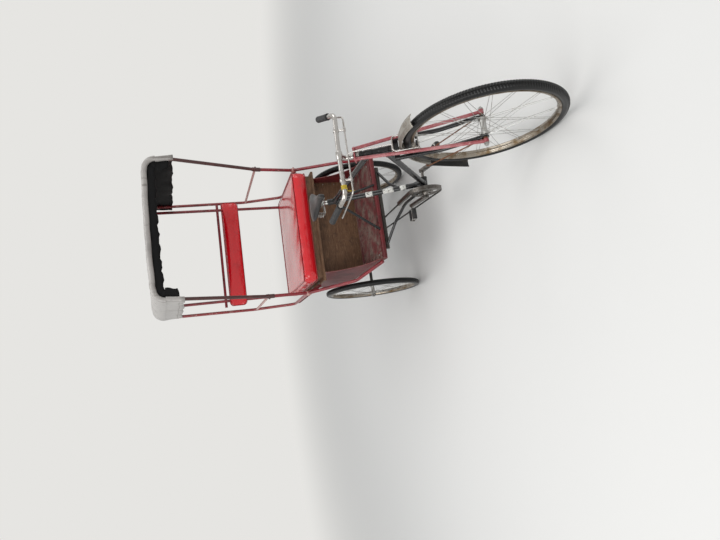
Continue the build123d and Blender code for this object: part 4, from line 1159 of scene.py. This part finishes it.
# %% [markdown]
# ## Fasteners and clamps
# Hexagon bolts and dome rivets hold the body together. They are small, but they say how it is made
# and give the edges their scale. Each is turned from a short profile: six steps give a hexagon.

# %% Add the bolts and rivets
def hex_bolt(shape, place, axis, radius, height):
    """A washer and a hexagon head standing on a face."""
    shape.turned(place, axis, [(radius * 1.5, 0), (radius * 1.5, 1.3), (radius * 0.6, 1.3)], 16)
    shape.turned(place, axis, [(radius, 1.0), (radius, height - 0.7), (radius * 0.82, height)], 6)


def rivet(shape, place, axis, radius=3.6):
    """A dome-headed rivet standing on a face."""
    dome = [(radius, 0), (radius * 0.9, 1.0), (radius * 0.6, 1.8), (radius * 0.1, 2.1)]
    shape.turned(place, axis, dome, 10)


steel, painted = Shape(), Shape()
body_half, deck_edge = span("side_sheets", 1)[1], span("seat_deck", 1)[1]
rivets = [(ahead, 768) for ahead in range(-350, 330, 85)]
rivets += [(ahead, 497) for ahead in range(-350, 640, 90)]
rivets += [(-365, up) for up in (560, 640, 710)]
for side in (-1, 1):
    for ahead, up in rivets:
        rivet(painted, spot(ahead, side * body_half, up), (0, side, 0))
    for ahead in (-310, -282, -80, -52, 140, 168):
        hex_bolt(steel, spot(ahead, side * (deck_edge - 11), deck_top), (0, 0, 1), 4.5, 4)
    for up in (540, 620, 700, 760):
        rivet(steel, spot(247.2, side * 318, up), (1, 0, 0), 3.4)
    for ahead, y in ((610, 300), (610, 120), (300, 300)):
        hex_bolt(steel, spot(ahead, side * y, 486), (0, 0, 1), 5, 3.5)
steel.make("body_bolts", zinc_plate, "axle_steel")
painted.make("body_rivets", body_enamel, "painted_red")

# %% [markdown]
# A clamp holds the rear hoop's side tube to each pillar, and a collar joins the pillar to the front
# hoop. Under the floor, U-bolts hold the leaf springs to the axle's bearings. Sleeves are turned round
# the line of the tube that they grip, so they lean with it, and a U-bolt is a rod along a bent path.

# %% Add the clamps, collars and U-bolts
pillar_side, tube, wall = 445, 11, 13.4
clamps, collars = Shape(), Shape()
for side in (-1, 1):
    foot, knuckle = spot(212, side * pillar_side, 893), spot(245, side * pillar_side, 1165)
    lean = (knuckle - foot).normalized()
    hoop_way = (spot(465, side * 438, 1690) - knuckle).normalized()
    clamps.sleeve(foot, lean, [(tube, -16), (14.6, -16), (15.2, -13)])
    clamps.turned(foot - Vector((30 * mm, 0, 0)), (1, 0, 0), [(tube, 0), (wall, 0), (wall, 20), (tube, 20)],
                  looped=True)
    hex_bolt(clamps, foot + Vector((0, side * 14 * mm, 0)), (0, side, 0), 5.5, 8)
    below = [(tube, -34), (13.6, -34), (14.2, -31), (14.2, -4), (13, 2), (tube, 2)]
    over = [(tube, 2), (15.4, 4), (15.4, 10), (13.6, 12), (13.6, 24), (tube, 26)]
    collars.turned(knuckle, lean, below, looped=True)
    collars.turned(knuckle, hoop_way, over, looped=True)
    hex_bolt(collars, knuckle + Vector((0, side * 13.5 * mm, 0)), (0, side, 0), 5, 7)
clamps.make("side_tube_clamps", arm_enamel, "worn_bar")
collars.make("pillar_collars", post_enamel, "brown_red")

under = Shape()
spring_side, clip_half = 210, 27
for side in (-1, 1):
    y = side * spring_side
    for ahead in (-22, 22):
        corners = ((-clip_half, 318), (-clip_half, 403), (clip_half, 403), (clip_half, 318))
        under.rod(bend_path([spot(ahead, y + out, up) for out, up in corners], 9), 4)
        for out in (-clip_half, clip_half):
            hex_bolt(under, spot(ahead, y + out, 326), (0, 0, -1), 6.5, 7)
    under.plate(spot(0, y, 328.5), (1, 0, 0), side_axis, rounded_ring((-34, -36), (34, 36), 5, steps=2), 5)
    for ahead in (-340, 340):
        for way in (-1, 1):
            hex_bolt(under, spot(ahead, y + way * 12, 421), (0, way, 0), 6, 6)
under.make("spring_clips", dark_steel, "spring_steel")

# %% [markdown]
# Last come the chainring's bolts, the cups and cotter pins of the cranks, and the nuts of both axles.
# Each piece rides on the body that it is fixed to, so that it turns with it in every pose.

# %% Add the crank's fittings and the axle nuts
drive = Shape()
ring_face = span("chainring", 1)[0]
for t in (2 * pi * (index + 0.5) / 5 for index in range(5)):
    hex_bolt(drive, off(bracket, 34 * cos(t), ring_face, 34 * sin(t)), (0, -1, 0), 4.5, 4)
drive.turned(off(bracket, 0, ring_face, 0), (0, -1, 0), [(24, 0), (24, 1.5), (19, 3), (12, 19)], 28)
for side in (-1, 1):
    drive.turned(off(bracket, 0, side * 86, 0), (0, side, 0), [(9, 0), (8, 2.5), (3, 3.4)], 20)
    drive.turned(off(bracket, side * 9, side * 78, -22), (0, 0, 1), [(4, 0), (4, 42), (2.6, 44)], 10)
drive.make("crank_fittings", oily_plate, "bright_plate", "crank_set")

rear_nuts, front_nuts = Shape(), Shape()
shaft_end = span("axle_shaft", 1)[1]
for side in (-1, 1):
    rear_nuts.turned(Vector((rear_x, side * (shaft_end - 6) * mm, right_hub.z)), (0, side, 0),
                     [(16, -9), (18, -8), (18, 0), (15.6, 1.5), (11, 1.5)], 6)
    front_nuts.turned(off(front_hub, 0, side * 77, 0), (0, side, 0), [(13, 0), (13, 1.6), (6, 1.6)], 20)
    nut = [(10.6, 0), (10.6, 7.4), (9, 8.8)]
    front_nuts.turned(off(front_hub, 0, side * 78.6, 0), (0, side, 0), nut, 6)
rear_nuts.make("rear_axle_nuts", zinc_plate, "axle_steel", "rear_axle_set")
front_nuts.make("front_axle_nuts", zinc_plate, "axle_steel", "steering")

# %% [markdown]
# ## Finishes on the measured nodes
# Nodes whose shape is already right keep their own mesh and only get a finish. Each row of the
# table is one finish with the nodes that wear it.

# %% Give the nodes their finishes
worn_by = (
    (tyre_rubber, "front_tyre rear_right_tyre rear_left_tyre"),
    (rim_chrome_painted_reflection, "front_wheel rear_right_wheel rear_left_wheel"),
    (dark_steel, "axle_shaft axle_bearings sprocket chain cross_members chassis_rails"),
    (bright_plate, "handlebar brake_rods"),
    (oily_plate, "chainring cranks chain_guard"),
    (black_enamel, "head_tube seat_tube down_tube top_tube frame_stays fork"),
    (zinc_plate, "seat_post front_axle pedal_right pedal_left"),
    (saddle_cover, "saddle"),
    (spring_steel, "leaf_springs"),
    (body_enamel, "side_sheets back_sheet tube_brackets front_rail"),
    (floor_enamel, "floor_pan"),
    (plywood, "seat_board seat_deck"),
    (tube_enamel, "rear_hoop"),
    (arm_enamel, "armrests"),
    (red_enamel, "side_pillars backrest_posts backrest_rail"),
    (post_enamel, "front_hoop hood_slats"),
    (hood_vinyl, "hood"),
    (seat_vinyl, "seat_cushion backrest_pad"),
    (rose_enamel, "truss_fork"),
    (mudguard_steel, "front_mudguard"),
    (flap_rubber, "mud_flap"),
    (rusty_rod, "mudguard_stay"),
    (grip_rubber, "grips"),
)
finished = set()
for material, names in worn_by:
    for name in names.split():
        slots = nodes[name].data.materials
        for index in range(len(slots)):
            slots[index] = material
        finished.add(name)
print("nodes without a finish:", sorted(set(nodes) - finished))
